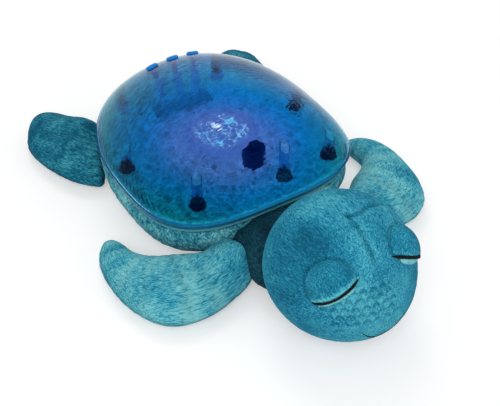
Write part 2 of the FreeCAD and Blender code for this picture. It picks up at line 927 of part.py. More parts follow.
def contact_side(k):
    return 1 if k % 2 == 0 else -1


def cell_y(k):
    return box_centre_y + (k - (cell_count - 1) / 2) * cell_pitch


def battery_cells():
    cells = []
    for k in range(cell_count):
        side = contact_side(k)
        along = Vec(side, 0, 0)
        middle = Vec(0, cell_y(k), cell_axis)
        start = middle - along * (cell_length / 2)
        shoulder = start + along * (cell_length - cell_nub)
        can = Part.makeCylinder(cell_diameter / 2, cell_length - cell_nub, start, along)
        nub = Part.makeCylinder(cell_nub_radius, cell_nub, shoulder, along)
        cells.append(fused([can, nub]))
    return cells


def contact_plate(k, side):
    low, high = sorted((side * box_half_x, side * (box_half_x - contact_thickness)))
    half = contact_width / 2
    return box((low, cell_y(k) - half, cell_axis - contact_reach),
               (high, cell_y(k) + half, cell_axis + contact_reach))


def contact_plates():
    plates = []
    for k in range(cell_count):
        side = contact_side(k)
        low, high = sorted((side * (box_half_x - contact_thickness), side * cell_length / 2))
        dimple = box((low, cell_y(k) - contact_dimple, cell_axis - contact_dimple),
                     (high, cell_y(k) + contact_dimple, cell_axis + contact_dimple))
        plates.append(fused([contact_plate(k, side), dimple]))
    return plates


def contact_springs():
    springs = []
    for k in range(cell_count):
        side = -contact_side(k)
        inner = side * (box_half_x - contact_thickness)
        room = side * (box_half_x - contact_thickness - cell_length / 2)
        foot = Vec(inner, 0, cell_axis - spring_foot)
        nose = Vec(inner - room, 0, cell_axis + 1)
        tail = Vec(inner - room * 0.4, 0, cell_axis + spring_foot)
        back = Vec(side * spring_thickness, 0, 0)
        outline = [foot, nose, tail, tail + back, nose + back, foot + Vec(0, 0, spring_thickness), foot]
        blade = Part.Face(Part.makePolygon(outline)).extrude(Vec(0, spring_width, 0))
        blade.translate(Vec(0, cell_y(k) - spring_width / 2, 0))
        springs.append(fused([contact_plate(k, side), blade]))
    return springs


# Buttons, their switches, board and bracket

def push_button(x):
    bottom = -button_board_drop + switch_height + switch_plunger_height + button_travel + switch_rest_gap
    flange_top = -shell_wall - button_flange_drop
    head = oval_post(button_long / 2, button_short / 2, flange_top - 0.5, button_stand)
    crown = [edge for edge in head.Edges if edge.BoundBox.ZMin > button_stand - 0.01]
    head = head.makeFillet(button_round, crown)
    flange = oval_post(button_long / 2 + button_flange, button_short / 2 + button_flange,
                       flange_top - button_flange_thickness, flange_top)
    stem = post(0, 0, bottom, flange_top, button_stem_radius)
    return at_button(fused([head, flange, stem]), x)


def button_board_point(x, across):
    middle = Part.Vertex(across, 0, -button_board_drop - board_thickness / 2)
    return at_button(middle, x).Point


def button_boards():
    boards = []
    for x in button_places:
        board = box((-button_board_half, -button_board_half_width, -button_board_drop - board_thickness),
                    (button_board_half, button_board_half_width, -button_board_drop))
        boards.append(at_button(board, x))
    return boards


def board_jumpers():
    jumpers = []
    for left, right in zip(button_places, button_places[1:]):
        start = button_board_point(left, button_board_half)
        end = button_board_point(right, -button_board_half)
        jumpers.append(Part.makeCylinder(jumper_radius, (end - start).Length, start, end - start))
    boards = Part.makeCompound(button_boards())
    return [jumper.cut(boards) for jumper in jumpers]


def tact_switches():
    half = switch_size / 2
    body = box((-half, -half, -button_board_drop), (half, half, -button_board_drop + switch_height))
    plunger = post(0, 0, -button_board_drop, -button_board_drop + switch_height + switch_plunger_height,
                   switch_plunger_radius)
    return [at_button(fused([body, plunger]), x) for x in button_places]


def button_bracket():
    half = bracket_column / 2
    columns = []
    for x in button_places:
        seat = button_board_point(x, 0)
        column = box((seat.x - half, seat.y - half, deck_top), (seat.x + half, seat.y + half, seat.z + half))
        room = box((-big / 4, -big / 4, -button_board_drop - board_thickness), (big / 4, big / 4, big / 4))
        columns.append(column.cut(at_button(room, x)))
    seat = button_board_point(0, 0)
    foot = box((-bracket_foot_half, seat.y - bracket_foot_depth, deck_top),
               (bracket_foot_half, seat.y + half, deck_top + button_bracket_foot))
    return fused([foot] + columns)


# Leads inside the unit: straight runs joined by tangent arcs

lead_holes = ((-6.0, 0.0), (-38.0, 74.0))


def lead_radii(points):
    radii = []
    for before, here, after in zip(points, points[1:], points[2:]):
        turn = (here - before).getAngle(after - here)
        shorter = min((here - before).Length, (after - here).Length)
        radii.append(0.45 * shorter / math.tan(turn / 2))
    return radii


def lead(name, spots):
    points = [Vec(*spot) for spot in spots]
    radii = lead_radii(points)
    edges = []
    start = points[0]
    for before, here, after, radius in zip(points, points[1:], points[2:], radii):
        come = (here - before).normalize()
        leave = (after - here).normalize()
        turn = come.getAngle(leave)
        reach = radius * math.tan(turn / 2)
        first = here - come * reach
        last = here + leave * reach
        inward = (leave - come).normalize()
        middle = here + inward * (radius / math.cos(turn / 2) - radius)
        edges.append(Part.LineSegment(start, first).toShape())
        edges.append(Part.Arc(first, middle, last).toShape())
        start = last
    edges.append(Part.LineSegment(start, points[-1]).toShape())
    path = Part.Wire(edges)
    section = Part.Wire(Part.makeCircle(lead_radius, points[0], points[1] - points[0]))
    solid = path.makePipeShell([section], True, False)
    share = solid.Volume / (math.pi * lead_radius ** 2 * path.Length)
    print(name, round(path.Length, 1), "long, least radius", round(min(radii), 1), "share", round(share, 3))
    return solid


plug_middle = board_top + plug_size / 2


def plug_spot(k):
    return main_board_x[1], plug_places[k], plug_middle


def motor_lead():
    side = motor_axis.x - motor_radius
    level = motor_top - motor_length / 2 - 2
    spots = (plug_spot(0), (-29.5, plug_places[0], plug_middle), (-25.5, -32.0, 23.0),
             (-23.0, motor_axis.y, level), (side, motor_axis.y, level))
    return lead("motor_lead", spots)


def speaker_lead():
    side = speaker_x - speaker_radius - speaker_clamp_width
    low = floor_top + 1.6
    spots = (plug_spot(1), (-26.0, plug_places[1], plug_middle), (-11.0, -9.0, 18.0), (6.0, -7.0, 15.0),
             (20.0, -9.0, low + 0.2), (28.0, speaker_y, low), (side, speaker_y, low))
    return lead("speaker_lead", spots)


def lamp_lead():
    x, y = lead_holes[0]
    spots = (plug_spot(2), (-27.0, plug_places[2], plug_middle), (-16.0, -3.0, 26.0), (x - 2, -0.5, 33.0),
             (x, y, 40.0), (x, y, deck_top))
    return lead("lamp_lead", spots)


def battery_lead():
    wall = box_centre_y - box_half_y - box_wall
    spots = (plug_spot(3), (-30.0, plug_places[3], plug_middle), (-26.0, 11.0, plug_middle + 1),
             (-26.0, wall, plug_middle + 1))
    return lead("battery_lead", spots)


def button_lead():
    x, y = lead_holes[1]
    end = button_board_point(button_places[0], -button_board_half)
    start = (button_plug_x(), main_board_y[1], plug_middle)
    spots = (start, (button_plug_x(), 35.0, plug_middle), (-55.0, 50.0, 27.0), (-46.0, 63.0, 33.0),
             (x, y - 2, 39.0), (x, y, 48.0), (x + 0.5, end.y - 0.5, 57.0), (end.x - 6.0, end.y, end.z - 1.0),
             tuple(end))
    return lead("button_lead", spots)


# Plush parts

def torso_envelope(extra):
    wires = []
    widest = min(torso_levels, key=lambda level: level[1])[0]
    for z, inset in torso_levels:
        side = (z > widest) - (z < widest)
        wires.append(outline_wire(inset - extra, z + side * extra))
    return loft(wires)


def floor_box():
    return box((-big, -big, -big), (big, big, 0))


def plush_torso():
    torso = torso_envelope(0)
    torso = torso.cut(tray_envelope(soft_gap))
    torso = torso.cut(outline_plate(tray_top_inset - soft_gap, neck_bottom - 2, rim_height))
    belly = box((-belly_half_width, belly_front_y, -1), (belly_half_width, belly_rear_y, tray_floor + 1))
    recess = box((-flap_half_width() - soft_gap, flap_front() - soft_gap, -1),
                 (flap_half_width() + soft_gap, flap_rear() + soft_gap, flap_top() + flap_room))
    loop_room = box((-tape_length / 2, tape_front(), flap_top()),
                    (tape_length / 2, tape_front() + tape_width, flap_top() + flap_room + tape_thickness))
    return largest(torso.cut(belly).cut(recess).cut(loop_room))


def flap_half_width():
    return belly_half_width + flap_overlap


def flap_front():
    return belly_front_y - flap_overlap


def flap_rear():
    return belly_rear_y + flap_overlap


def flap_top():
    return flap_lift + flap_thickness


def tape_front():
    return flap_rear() - tape_width - tape_margin


def belly_flap():
    flap = box((-flap_half_width(), flap_front(), flap_lift), (flap_half_width(), flap_rear(), flap_top()))
    rear = [edge for edge in flap.Edges if edge.BoundBox.YMin > belly_rear_y]
    upright = [edge for edge in rear if edge.BoundBox.ZLength > flap_thickness / 2]
    return flap.makeFillet(flap_corner, upright)


def hook_tape():
    half = tape_length / 2 - 1
    front = tape_front()
    return box((-half, front, flap_top()), (half, front + tape_width, flap_top() + tape_thickness))


def loop_tape():
    low = flap_top() + flap_room
    half = tape_length / 2 - soft_gap
    front = tape_front()
    return box((-half, front + 0.2, low), (half, front + tape_width - 0.2, low + tape_thickness))


def rim_binding():
    low = torso_levels[-1][0] + soft_gap
    return outline_ring(binding_inset, tray_neck_inset - soft_gap, low, low + binding_thickness)


def barrel_wire(y, x, half_width, top):
    points = []
    low = -floor_cut
    middle = (top + low) / 2
    for k in range(2 * neck_arcs):
        angle = math.pi * k / neck_arcs
        across = math.copysign(abs(math.cos(angle)) ** neck_squareness, math.cos(angle))
        height = math.copysign(abs(math.sin(angle)) ** neck_squareness, math.sin(angle))
        points.append(Vec(x + half_width * across, y, middle + (top - low) / 2 * height))
    return arc_loop(points)


def neck_envelope(extra):
    return loft([barrel_wire(y, x, half + extra, top + extra) for y, x, half, top in neck_sections])


def plush_neck():
    neck = neck_envelope(0).cut(floor_box()).cut(torso_envelope(0)).cut(plush_head())
    return largest(neck.cut(outline_plate(binding_inset - soft_gap, torso_levels[-1][0] - 1, rim_height)))


def head_wire(z):
    rise = (z - head_middle) / head_radius
    ring = head_radius * max(0.02, 1 - abs(rise) ** 2.1) ** 0.5
    count = 2 * head_arcs
    points = []
    for k in range(count):
        turn = 360 * k / count
        facing = max(0.0, math.cos(math.radians(turn)))
        snout = muzzle_reach * facing ** 3 * math.exp(-((z - head_middle + muzzle_drop) / 24) ** 2)
        sideways = abs(math.sin(math.radians(turn)))
        cheeks = cheek_fullness * sideways * math.exp(-((z - head_middle + 8) / 22) ** 2)
        points.append(polar(ring + snout + cheeks, turn - 90 - head_yaw, z) + Vec(head_x, head_y, 0))
    return arc_loop(points)


def plush_head():
    levels = [-floor_cut]
    for k in range(1, head_steps):
        angle = math.radians(-75 + 160 * k / head_steps)
        levels.append(head_middle + head_radius * math.sin(angle))
    sections = [head_wire(z) for z in levels]
    sections.append(Part.Vertex(head_x, head_y, head_middle + head_radius))
    return loft(sections).cut(floor_box())


# Direction seen from the middle of the head: degrees sideways from straight ahead, and upwards

def head_turn():
    return FreeCAD.Rotation(UP, -head_yaw).multiply(FreeCAD.Rotation(Vec(0, 1, 0), head_roll))


def head_direction(side, rise):
    turn = math.radians(side)
    climb = math.radians(rise)
    facing = Vec(math.sin(turn) * math.cos(climb), -math.cos(turn) * math.cos(climb), math.sin(climb))
    return head_turn().multVec(facing)


head_centre = Vec(head_x, head_y, head_middle)


# Middle of an eyelid, its outward direction and the direction across its lash line

def lid_plane(side):
    outward = head_direction(side * eye_side, eye_rise)
    level = outward.cross(head_turn().multVec(UP)).normalize()
    down = outward.cross(level).normalize()
    turned = FreeCAD.Rotation(outward, side * lash_tilt).multVec(down if down.z < 0 else down * -1)
    return head_centre + outward * (head_radius - eyelid_sink), outward, turned


def half_space(point, direction):
    block = Part.makeBox(big, big, big, Vec(-big / 2, -big / 2, 0))
    turn = FreeCAD.Placement(Vec(0, 0, 0), FreeCAD.Rotation(UP, direction))
    block.Placement = turn.multiply(block.Placement)
    block.translate(point)
    return block


def upper_eyelid(side):
    middle, outward, down = lid_plane(side)
    lid = Part.makeSphere(eyelid_radius, middle).cut(half_space(middle + down * lash_drop, down))
    return largest(lid.cut(plush_head()))


def lash_line(side):
    middle, outward, down = lid_plane(side)
    low = lash_drop + lash_seam
    band = Part.makeSphere(eyelid_radius - lash_inset, middle).common(half_space(middle + down * low, down))
    band = band.cut(half_space(middle + down * (low + lash_width), down))
    return largest(band.cut(plush_head()))


def lower_eyelid(side):
    middle, outward, down = lid_plane(side)
    centre = middle + outward * (eyelid_sink - lower_lid_sink) - down * lower_lid_shift
    edge = middle + down * (lash_drop + 2 * lash_seam + lash_width)
    lid = Part.makeSphere(lower_lid_radius, centre).common(half_space(edge, down))
    return largest(lid.cut(plush_head()))


def mouth_stitch():
    reach = head_radius + muzzle_reach
    turns = ((-mouth_side, mouth_corner), (0, mouth_middle), (mouth_side, mouth_corner))
    spots = [head_centre + head_direction(side, rise) * (reach - 2.0) for side, rise in turns]
    arc = Part.Arc(*spots).toShape()
    section = Part.makeCircle(mouth_thread_radius, spots[0], arc.tangentAt(arc.FirstParameter))
    thread = Part.Wire(arc).makePipeShell([Part.Wire(section)], True, False)
    rounded = thread.common(mouth_skin())
    return largest(rounded.cut(plush_head()))


def mouth_skin():
    grown = plush_head()
    grown.scale(1 + mouth_thread / head_radius, head_centre)
    return grown


def flipper_wire(outer, inner, height):
    edge = flipper_edge_share * height
    points = []
    for k in range(8):
        angle = math.radians(45 * k)
        share = 0.5 + 0.5 * math.cos(angle)
        climb = math.sin(angle)
        z = edge + (height - edge) * climb if climb >= 0 else edge + (edge + floor_cut) * climb
        x = inner[0] + (outer[0] - inner[0]) * share
        y = inner[1] + (outer[1] - inner[1]) * share
        points.append(Vec(x, y, z))
    return arc_loop(points)


def flipper_form(sections):
    return loft([flipper_wire(outer, inner, height) for outer, inner, height in sections]).cut(floor_box())


def turned_away(shape, point, axis, angle):
    turned = shape.copy()
    turned.rotate(point, axis, -angle)
    return turned


def cleared(flipper, blockers, point, axis, lift):
    for step in range(sweep_steps + 1):
        angle = lift * step / sweep_steps
        for blocker in blockers:
            flipper = flipper.cut(turned_away(blocker, point, axis, angle))
    return largest(flipper)


def rim_block(extra):
    return outline_plate(-extra, torso_levels[-1][0] - extra, rim_height + edge_height + 20)


def front_flipper():
    form = flipper_form(front_flipper_sections)
    blockers = [torso_envelope(flipper_gap), neck_envelope(flipper_gap), rim_block(flipper_gap)]
    return cleared(form, blockers, Vec(shoulder_x, 0, shoulder_z), Vec(0, 1, 0), front_lift)


# Point and outward direction of the upright plane where the rear flipper is sewn on

def rear_root():
    outward = polar(1, rear_seam_turn)
    inset = min(inset for z, inset in torso_levels)
    reach = max(outward.dot(polar(outline_reach(turn, inset), turn)) for turn in range(90, 270))
    return outward * (reach + flipper_gap) + Vec(0, 0, rear_hinge_height), outward


def rear_flipper():
    form = flipper_form(rear_flipper_sections)
    point, outward = rear_root()
    form = form.cut(half_space(point, outward * -1))
    blockers = [torso_envelope(flipper_gap), rim_block(flipper_gap)]
    return cleared(form, blockers, point, outward.cross(UP), rear_lift)


def mirrored(shape):
    return shape.mirror(Vec(0, 0, 0), Vec(1, 0, 0))


def save(name, shape):
    solids = shape if isinstance(shape, list) else [shape]
    kept = solids[0] if len(solids) == 1 else Part.makeCompound(solids)
    kept.exportStep("parts/" + name + ".step")


def build_plush():
    right_front = front_flipper()
    right_rear = rear_flipper()
    save("plush_torso", plush_torso())
    save("plush_neck", plush_neck())
    save("plush_head", plush_head())
    save("front_flipper_right", right_front)
    save("front_flipper_left", mirrored(right_front))
    save("rear_flipper_right", right_rear)
    save("rear_flipper_left", mirrored(right_rear))
    for name, side in (("right", -1), ("left", 1)):
        save("upper_eyelid_" + name, upper_eyelid(side))
        save("lower_eyelid_" + name, lower_eyelid(side))
        save("lash_line_" + name, lash_line(side))
    save("mouth_stitch", mouth_stitch())
    save("rim_binding", rim_binding())
    save("belly_flap", belly_flap())
    save("hook_tape", hook_tape())
    save("loop_tape", loop_tape())


def build_housing():
    save("shell_dome", shell_dome())
    save("base_tray", base_tray())
    save("deck_plate", deck_plate())
    save("boss_collars", boss_collars())
    save("battery_cover", battery_cover())
    save("cover_screw", cover_screw())
    save("unit_screws", unit_screws())
    save("deck_screws", deck_screws())


def build_projector():
    save("lamp_cup", lamp_cup())
    save("lamp_board", lamp_board())
    save("lamp_leds", lamp_leds())
    save("beam_lens", beam_lens())
    save("wave_lens", wave_lens())
    save("lens_ring_gear", lens_ring_gear())
    save("lens_hooks", lens_hooks())
    save("reduction_gear", reduction_gear())
    save("pinion_cover", pinion_cover())
    save("motor_bracket", motor_bracket())
    save("motor_can", motor_can())
    save("motor_pinion", motor_pinion())


def build_electrics():
    save("main_board", main_board())
    save("board_parts", board_parts())
    save("board_screws", board_screws())
    save("speaker_frame", speaker_frame())
    save("speaker_cone", speaker_cone())
    save("speaker_magnet", speaker_magnet())
    save("speaker_clamp", speaker_clamp())
    save("battery_cells", battery_cells())
    save("contact_plates", contact_plates())
    save("contact_springs", contact_springs())
    for name, x in zip(("right", "middle", "left"), button_places):
        save("button_" + name, push_button(x))
    save("button_boards", button_boards() + board_jumpers())
    save("tact_switches", tact_switches())
    save("button_bracket", button_bracket())
    save("motor_lead", motor_lead())
    save("speaker_lead", speaker_lead())
    save("lamp_lead", lamp_lead())
    save("battery_lead", battery_lead())
    save("button_lead", button_lead())


build_plush()
build_housing()
build_projector()
build_electrics()
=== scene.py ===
import math
from functools import partial

import bmesh
import bpy
import numpy as np
from mathutils import Matrix, Vector, noise


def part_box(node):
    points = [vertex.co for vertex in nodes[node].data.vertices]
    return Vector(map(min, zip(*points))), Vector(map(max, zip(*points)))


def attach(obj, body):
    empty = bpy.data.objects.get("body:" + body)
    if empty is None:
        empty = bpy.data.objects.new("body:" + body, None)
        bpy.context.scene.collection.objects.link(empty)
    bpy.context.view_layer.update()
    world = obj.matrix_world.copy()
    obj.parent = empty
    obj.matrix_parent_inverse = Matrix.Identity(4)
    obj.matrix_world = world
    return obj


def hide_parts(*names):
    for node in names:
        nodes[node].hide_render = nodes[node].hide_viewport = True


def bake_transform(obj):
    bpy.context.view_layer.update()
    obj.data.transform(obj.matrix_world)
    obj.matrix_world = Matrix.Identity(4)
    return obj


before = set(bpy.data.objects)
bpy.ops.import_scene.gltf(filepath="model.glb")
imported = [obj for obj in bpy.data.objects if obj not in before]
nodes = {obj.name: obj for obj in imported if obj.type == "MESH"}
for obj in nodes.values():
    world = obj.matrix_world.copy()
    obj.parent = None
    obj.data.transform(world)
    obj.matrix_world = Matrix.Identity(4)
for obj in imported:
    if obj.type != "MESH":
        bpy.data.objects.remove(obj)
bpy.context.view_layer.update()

# A stuffed sea turtle with a lamp under its translucent shell. Metres; its head points along -Y,
# and up is +Z.

scene = bpy.context.scene
mm = 0.001

# Head: middle, radius and the small turn of the face
head_middle = Vector((-6.0, -177.0, 54.0)) * mm
head_core = np.array(head_middle)
head_radius = 55.8 * mm
head_turn = Matrix.Rotation(math.radians(-0.5), 3, "Z") @ Matrix.Rotation(
    math.radians(-2.5), 3, "Y")

# Eyelids: degrees to the side, up and round of each eye, as cut and as sewn, and the ball that a
# lid is part of
eye_cut = (42.6, 30.6, -34.0)
eye_sewn = {-1: eye_cut, 1: (42.4, 32.3, -42.7)}
eyelid_sink = 12.6 * mm
eyelid_radius = 21.3 * mm
lash_drop = 5.5 * mm
lash_width = 2.5 * mm
lash_lean = math.radians(21.5)

# Rear flipper: a point of its seam and the direction in which the flipper leaves it, right side
rear_seam = Vector((-91.87, 42.84, 25.0)) * mm
rear_outward = Vector((-0.9063, 0.4226, 0.0))

# The right front flipper curls round this point
curl_middle = Vector((-88.0, -56.0, 0.0)) * mm
curl_radius = 52 * mm

floor_clearance = 0.2 * mm

# Filling of the covers: air pressure, frames, and the shares of its cap that a cover swells and
# may shift
filling_pressure, filling_frames = 4.0, 20
swell_share, shift_share = 0.9, 0.3

pile_height = 0.34  # of the long pile, in millimetres
edge_seam = 11 * mm  # height of the seam round a flipper
right_and_left = (("right", -1), ("left", 1))


# Colours and nodes

def linear(code):
    """An sRGB hex colour as the linear values that a shader takes."""
    parts = [int(code[k:k + 2], 16) / 255 for k in (1, 3, 5)]
    straight = [c / 12.92 if c <= 0.04045 else ((c + 0.055) / 1.055) ** 2.4 for c in parts]
    return (*straight, 1.0)


def plug(node, values):
    """Fills sockets by name or number: with a value, a hex colour, an output or another node, which
    stands for the first of its outputs in use."""
    for key, value in values.items():
        if isinstance(value, bpy.types.ShaderNode):
            value = next(output for output in value.outputs if output.enabled)
        if isinstance(value, bpy.types.NodeSocket):
            node.id_data.links.new(value, node.inputs[key])
        else:
            node.inputs[key].default_value = linear(value) if isinstance(value, str) else value


def add_node(tree, kind, settings={}):
    """Adds one node, named by its kind and, after a dot, what it does. Its settings and links go by
    property, socket name or number; a range's ends come in pairs."""
    kind, _, way = kind.partition(".")
    node = tree.nodes.new("ShaderNode" + kind)
    if kind == "Mix":
        node.data_type, node.blend_type = "RGBA", way
    elif way:
        node.operation = way
    for key, value in settings.items():
        if key == "stops":
            stops = node.color_ramp.elements
            stops.remove(stops[1])
            stops[0].position, stops[0].color = value[0][0], linear(value[0][1])
            for place, colour in value[1:]:
                stops.new(place).color = linear(colour)
        elif key in ("From", "To"):
            plug(node, {key + " Min": value[0], key + " Max": value[1]})
        elif isinstance(key, str) and hasattr(node, key):
            setattr(node, key, value)
        else:
            plug(node, {key: value})
    return node


def finish(name, surface):
    """A new finish with its flat values on the surface's own sockets."""
    made = bpy.data.materials.new(name)
    made.use_nodes = True
    shader = made.node_tree.nodes["Principled BSDF"]
    plug(shader, surface)
    return made, partial(add_node, made.node_tree), shader


# Finishes

def brushed_plush(name, dark, middle, light, streak=(0.9, 5.5), lift=0.0):
    """Short polyester pile brushed one way: pale and dark streaks along the nap, cloudy patches where
    it lies differently, painted shade in the seams and creases and a soft velvet edge."""
    made, add, shader = finish(name, {"Roughness": 0.95, "Specular IOR Level": 0.1,
        "Sheen Weight": 0.12, "Sheen Roughness": 0.4, "Sheen Tint": light})
    pile = add("Attribute", {"attribute_name": "pile"}).outputs["Vector"]
    crease = add("Attribute", {"attribute_name": "crease"}).outputs["Fac"]
    # The tone: lighter or darker plush per point, partly random patches of nap and partly painted highlights and
    # shade
    mixed = add("Attribute", {"attribute_name": "tone"}).outputs["Fac"]
    sway = add("TexNoise", {"Scale": 1 / (16 * mm), "Detail": 1.0, "Vector": pile})
    swept = add("VectorMath.MULTIPLY_ADD", {1: (2.4 * mm,) * 3, 0: sway.outputs["Color"], 2: pile})
    laid = []
    for across, along, detail, weight in ((*streak, 2.0, 0.6), (0.55, 3.0, 1.0, 0.2),
                                          (10.0, 22.0, 1.0, 0.16), (36.0, 40.0, 1.0, 0.4)):
        combed = add("Mapping", {"Scale": (1 / (across * mm), 1 / (along * mm), 1 / (across * mm)),
            "Vector": swept})
        tufts = add("TexNoise", {"Scale": 1.0, "Detail": detail, "Roughness": 0.55,
            "Vector": combed})
        mixed = add("Math.MULTIPLY_ADD", {1: weight, 0: tufts, 2: mixed})
        laid += [combed, tufts]
    broad = add("Mapping", {"Scale": (0.5, 0.75, 0.5), "Vector": laid[0]})
    folds = add("TexNoise", {"Scale": 1.0, "Detail": 1.5, "Vector": broad})
    offset = add("Math.SUBTRACT", {1: 0.5, 0: folds})
    apart = add("Math.ABSOLUTE", {0: offset})
    parting = add("MapRange", {"From Max": 0.045, "To": (-0.19, 0.03), "Value": apart})
    mixed = add("Math.ADD", {0: mixed, 1: parting})
    level = add("MapRange", {"From": (0.455 - lift, 0.885 - lift), "Value": mixed})
    colour = add("ValToRGB", {"stops": [(0.0, dark), (0.5, middle), (1.0, light)], "Fac": level})
    # Painted shade: darkens the plush where the crease shade marks seams, folds and hollows
    shaded = add("Mix.MULTIPLY", {7: "#3d6a75", 0: crease, 6: colour})
    nap = add("Bump", {"Strength": 0.7, "Distance": 0.9 * mm, "Height": laid[1]})
    plug(shader, {"Base Color": shaded, "Normal": nap})
    return made


def moulded_plastic(name, colour, roughness, grain=0.5, level=0.5):
    """Injection-moulded ABS: an even colour with a faint cloudy flow and a fine eroded texture."""
    made, add, shader = finish(name, {"IOR": 1.53, "Specular IOR Level": level})
    place = add("TexCoord").outputs["Object"]
    spark = add("TexNoise", {"Scale": 1 / (grain * mm), "Vector": place})
    flow = add("TexNoise", {"Scale": 1 / (14 * mm), "Detail": 1.0, "Vector": place})
    shade = add("MapRange", {"To": (0.88, 1.08), "Value": flow})
    tone = add("Mix.MULTIPLY", {0: 1.0, 6: colour, 7: shade})
    dull = add("MapRange", {"To": (roughness - 0.08, roughness + 0.1), "Value": spark})
    relief = add("Bump", {"Strength": 0.5, "Distance": 0.03 * mm, "Height": spark})
    plug(shader, {"Base Color": tone, "Roughness": dull, "Normal": relief})
    return made


def tinted_shell():
    """Glossy clear polycarbonate, tinted sea blue, with water ripples and slanted ribs moulded into
    its inner face, posts that look paler and a pale lip that catches the lamp's light."""
    made, add, shader = finish("tinted_polycarbonate", {"Roughness": 0.03, "IOR": 1.14,
        "Transmission Weight": 1.0, "Specular Tint": "#2f9fcf", "Emission Color": "#1c86b8"})
    place = add("TexCoord").outputs["Object"]
    spread = add("Mapping", {"Scale": (1 / 0.098, 1 / 0.105, 0.0), "Vector": place})
    reach = add("VectorMath.LENGTH", {0: spread})
    tint = add("ValToRGB", {"stops": [(0.0, "#60a2dc"), (0.6, "#52a4dc"), (0.9, "#48a4cc"),
        (1.0, "#48a8bc")], "Fac": reach})
    drift = add("TexNoise", {"Scale": 1 / (14 * mm), "Detail": 1.0, "Vector": place})
    bent = add("VectorMath.MULTIPLY_ADD", {1: (9 * mm,) * 3, 0: drift.outputs["Color"], 2: place})
    drawn = add("Mapping", {"Scale": (1 / (8 * mm), 1 / (3.2 * mm), 1 / (3.6 * mm)),
        "Vector": bent})
    ripple = add("TexNoise", {"Scale": 1.0, "Vector": drawn})
    side = add("NewGeometry")
    normal = add("SeparateXYZ", {"Vector": side.outputs["True Normal"]})
    behind = add("Math.MULTIPLY_ADD", {1: -2.0, 2: 1.0, 0: side.outputs["Backfacing"]})
    outside = add("Math.MULTIPLY", {0: normal.outputs["Z"], 1: behind})
    inner = add("Math.LESS_THAN", {1: 0.0, 0: outside})
    outer = add("MapRange", {"From": (0.15, 0.5), "To Min": 0.15, "Value": reach})
    rippled = add("Math.MULTIPLY", {0: inner, 1: outer})
    water = add("Bump", {"Distance": 1.1 * mm, "Height": ripple, "Strength": rippled})
    steep = add("Math.ABSOLUTE", {0: normal.outputs["Z"]})
    upright = add("Math.LESS_THAN", {1: 0.12, 0: steep})
    amid = add("Math.LESS_THAN", {1: 0.93, 0: reach})
    post = add("Math.MULTIPLY", {0: upright, 1: amid})
    clear_post = add("Mix.MIX", {7: "#b4d2f0", 0: post, 6: tint})
    parts = add("SeparateXYZ", {"Vector": place})
    rear = add("MapRange", {"From": (-60 * mm, 30 * mm), "To Min": 0.3,
        "Value": parts.outputs["Y"]})
    depth = add("Math.MULTIPLY", {0: rippled, 1: rear})
    troughs = add("MapRange", {"From": (0.38, 0.6), "To": (0.4, 1.15), "Value": ripple})
    streaked = add("Mix.MULTIPLY", {0: depth, 6: clear_post, 7: troughs})
    rib_pitch, ribs_per_turn, rib_height, rib_half = 5 * mm, 100.0, 53 * mm, 2.2 * mm
    turn = add("Math.ARCTAN2", {0: parts.outputs["Y"], 1: parts.outputs["X"]})
    climb = add("Math.MULTIPLY", {1: 2 * math.pi / rib_pitch, 0: parts.outputs["Z"]})
    phase = add("Math.MULTIPLY_ADD", {1: ribs_per_turn, 0: turn, 2: climb})
    wave = add("Math.SINE", {0: phase})
    ribs = add("MapRange", {"From": (0.3, 0.7), "Value": wave})
    band = add("Math.COMPARE", {1: rib_height, 2: rib_half, 0: parts.outputs["Z"]})
    sides = add("MapRange", {"From": (-70 * mm, -45 * mm), "Value": parts.outputs["Y"]})
    mask = ribs
    for part in (band, sides, inner):
        mask = add("Math.MULTIPLY", {0: mask, 1: part})
    ribbed = add("Mix.MULTIPLY", {7: "#2a5c9a", 0: mask, 6: streaked})
    lip = add("MapRange", {"From": (47 * mm, 52 * mm), "To": (1.0, 0.0),
        "Value": parts.outputs["Z"]})
    rimmed = add("Mix.MIX", {7: "#9ad6e6", 0: lip, 6: ribbed})
    caught = add("Math.MULTIPLY", {1: 0.3, 0: lip})
    plug(shader, {"Emission Strength": caught, "Base Color": rimmed, "Normal": water})
    return made


def lit_deck():
    """Moulded deck plate washed by the lamp: violet round the lens, blue further out, sea green at
    the rim, broken up by the lens's ripples and dark behind the button bracket."""
    made, add, shader = finish("deck_under_lamp_light", {"Base Color": "#12304c", "Roughness": 0.5,
        "Specular IOR Level": 0.1, "Emission Strength": 1.0})
    place = add("TexCoord").outputs["Object"]
    drift = add("TexNoise", {"Scale": 1 / (20 * mm), "Vector": place})
    moved = add("VectorMath.MULTIPLY_ADD", {1: (14 * mm, 14 * mm, 0.0), 0: drift.outputs["Color"],
        2: place})
    spread = add("Mapping", {"Location": (-0.07, -0.07, 0.0), "Scale": (1 / 0.100, 1 / 0.106, 0.0),
        "Vector": moved})
    reach = add("VectorMath.LENGTH", {0: spread})
    light = add("ValToRGB", {"stops": [(0.0, "#e8bee2"), (0.36, "#cca8d4"), (0.54, "#6e9cc8"),
        (0.68, "#2ca2c8"), (0.80, "#28a2be"), (0.93, "#30a6b2"), (1.0, "#40b4b2")], "Fac": reach})
    waves = add("TexNoise", {"Scale": 1 / (5 * mm), "Detail": 3.0, "Roughness": 0.65,
        "Distortion": 1.2, "Vector": place})
    uneven = add("MapRange", {"From": (0.32, 0.68), "To": (0.45, 1.4), "Value": waves})
    side = add("VectorMath.DOT_PRODUCT", {1: (1.9, 1.6, 0.0), 0: place})
    level = add("Math.ADD", {0: side, 1: uneven})
    away = add("VectorMath.DISTANCE", {1: (8 * mm, 72 * mm, 46 * mm), 0: moved})
    shadow = add("MapRange", {"From": (6 * mm, 14 * mm), "To Min": 0.3, "Value": away})
    shaded = add("Math.MULTIPLY", {0: level, 1: shadow})
    glow = add("Mix.MULTIPLY", {0: 1.0, 6: light, 7: shaded})
    plug(shader, {"Emission Color": glow})
    return made


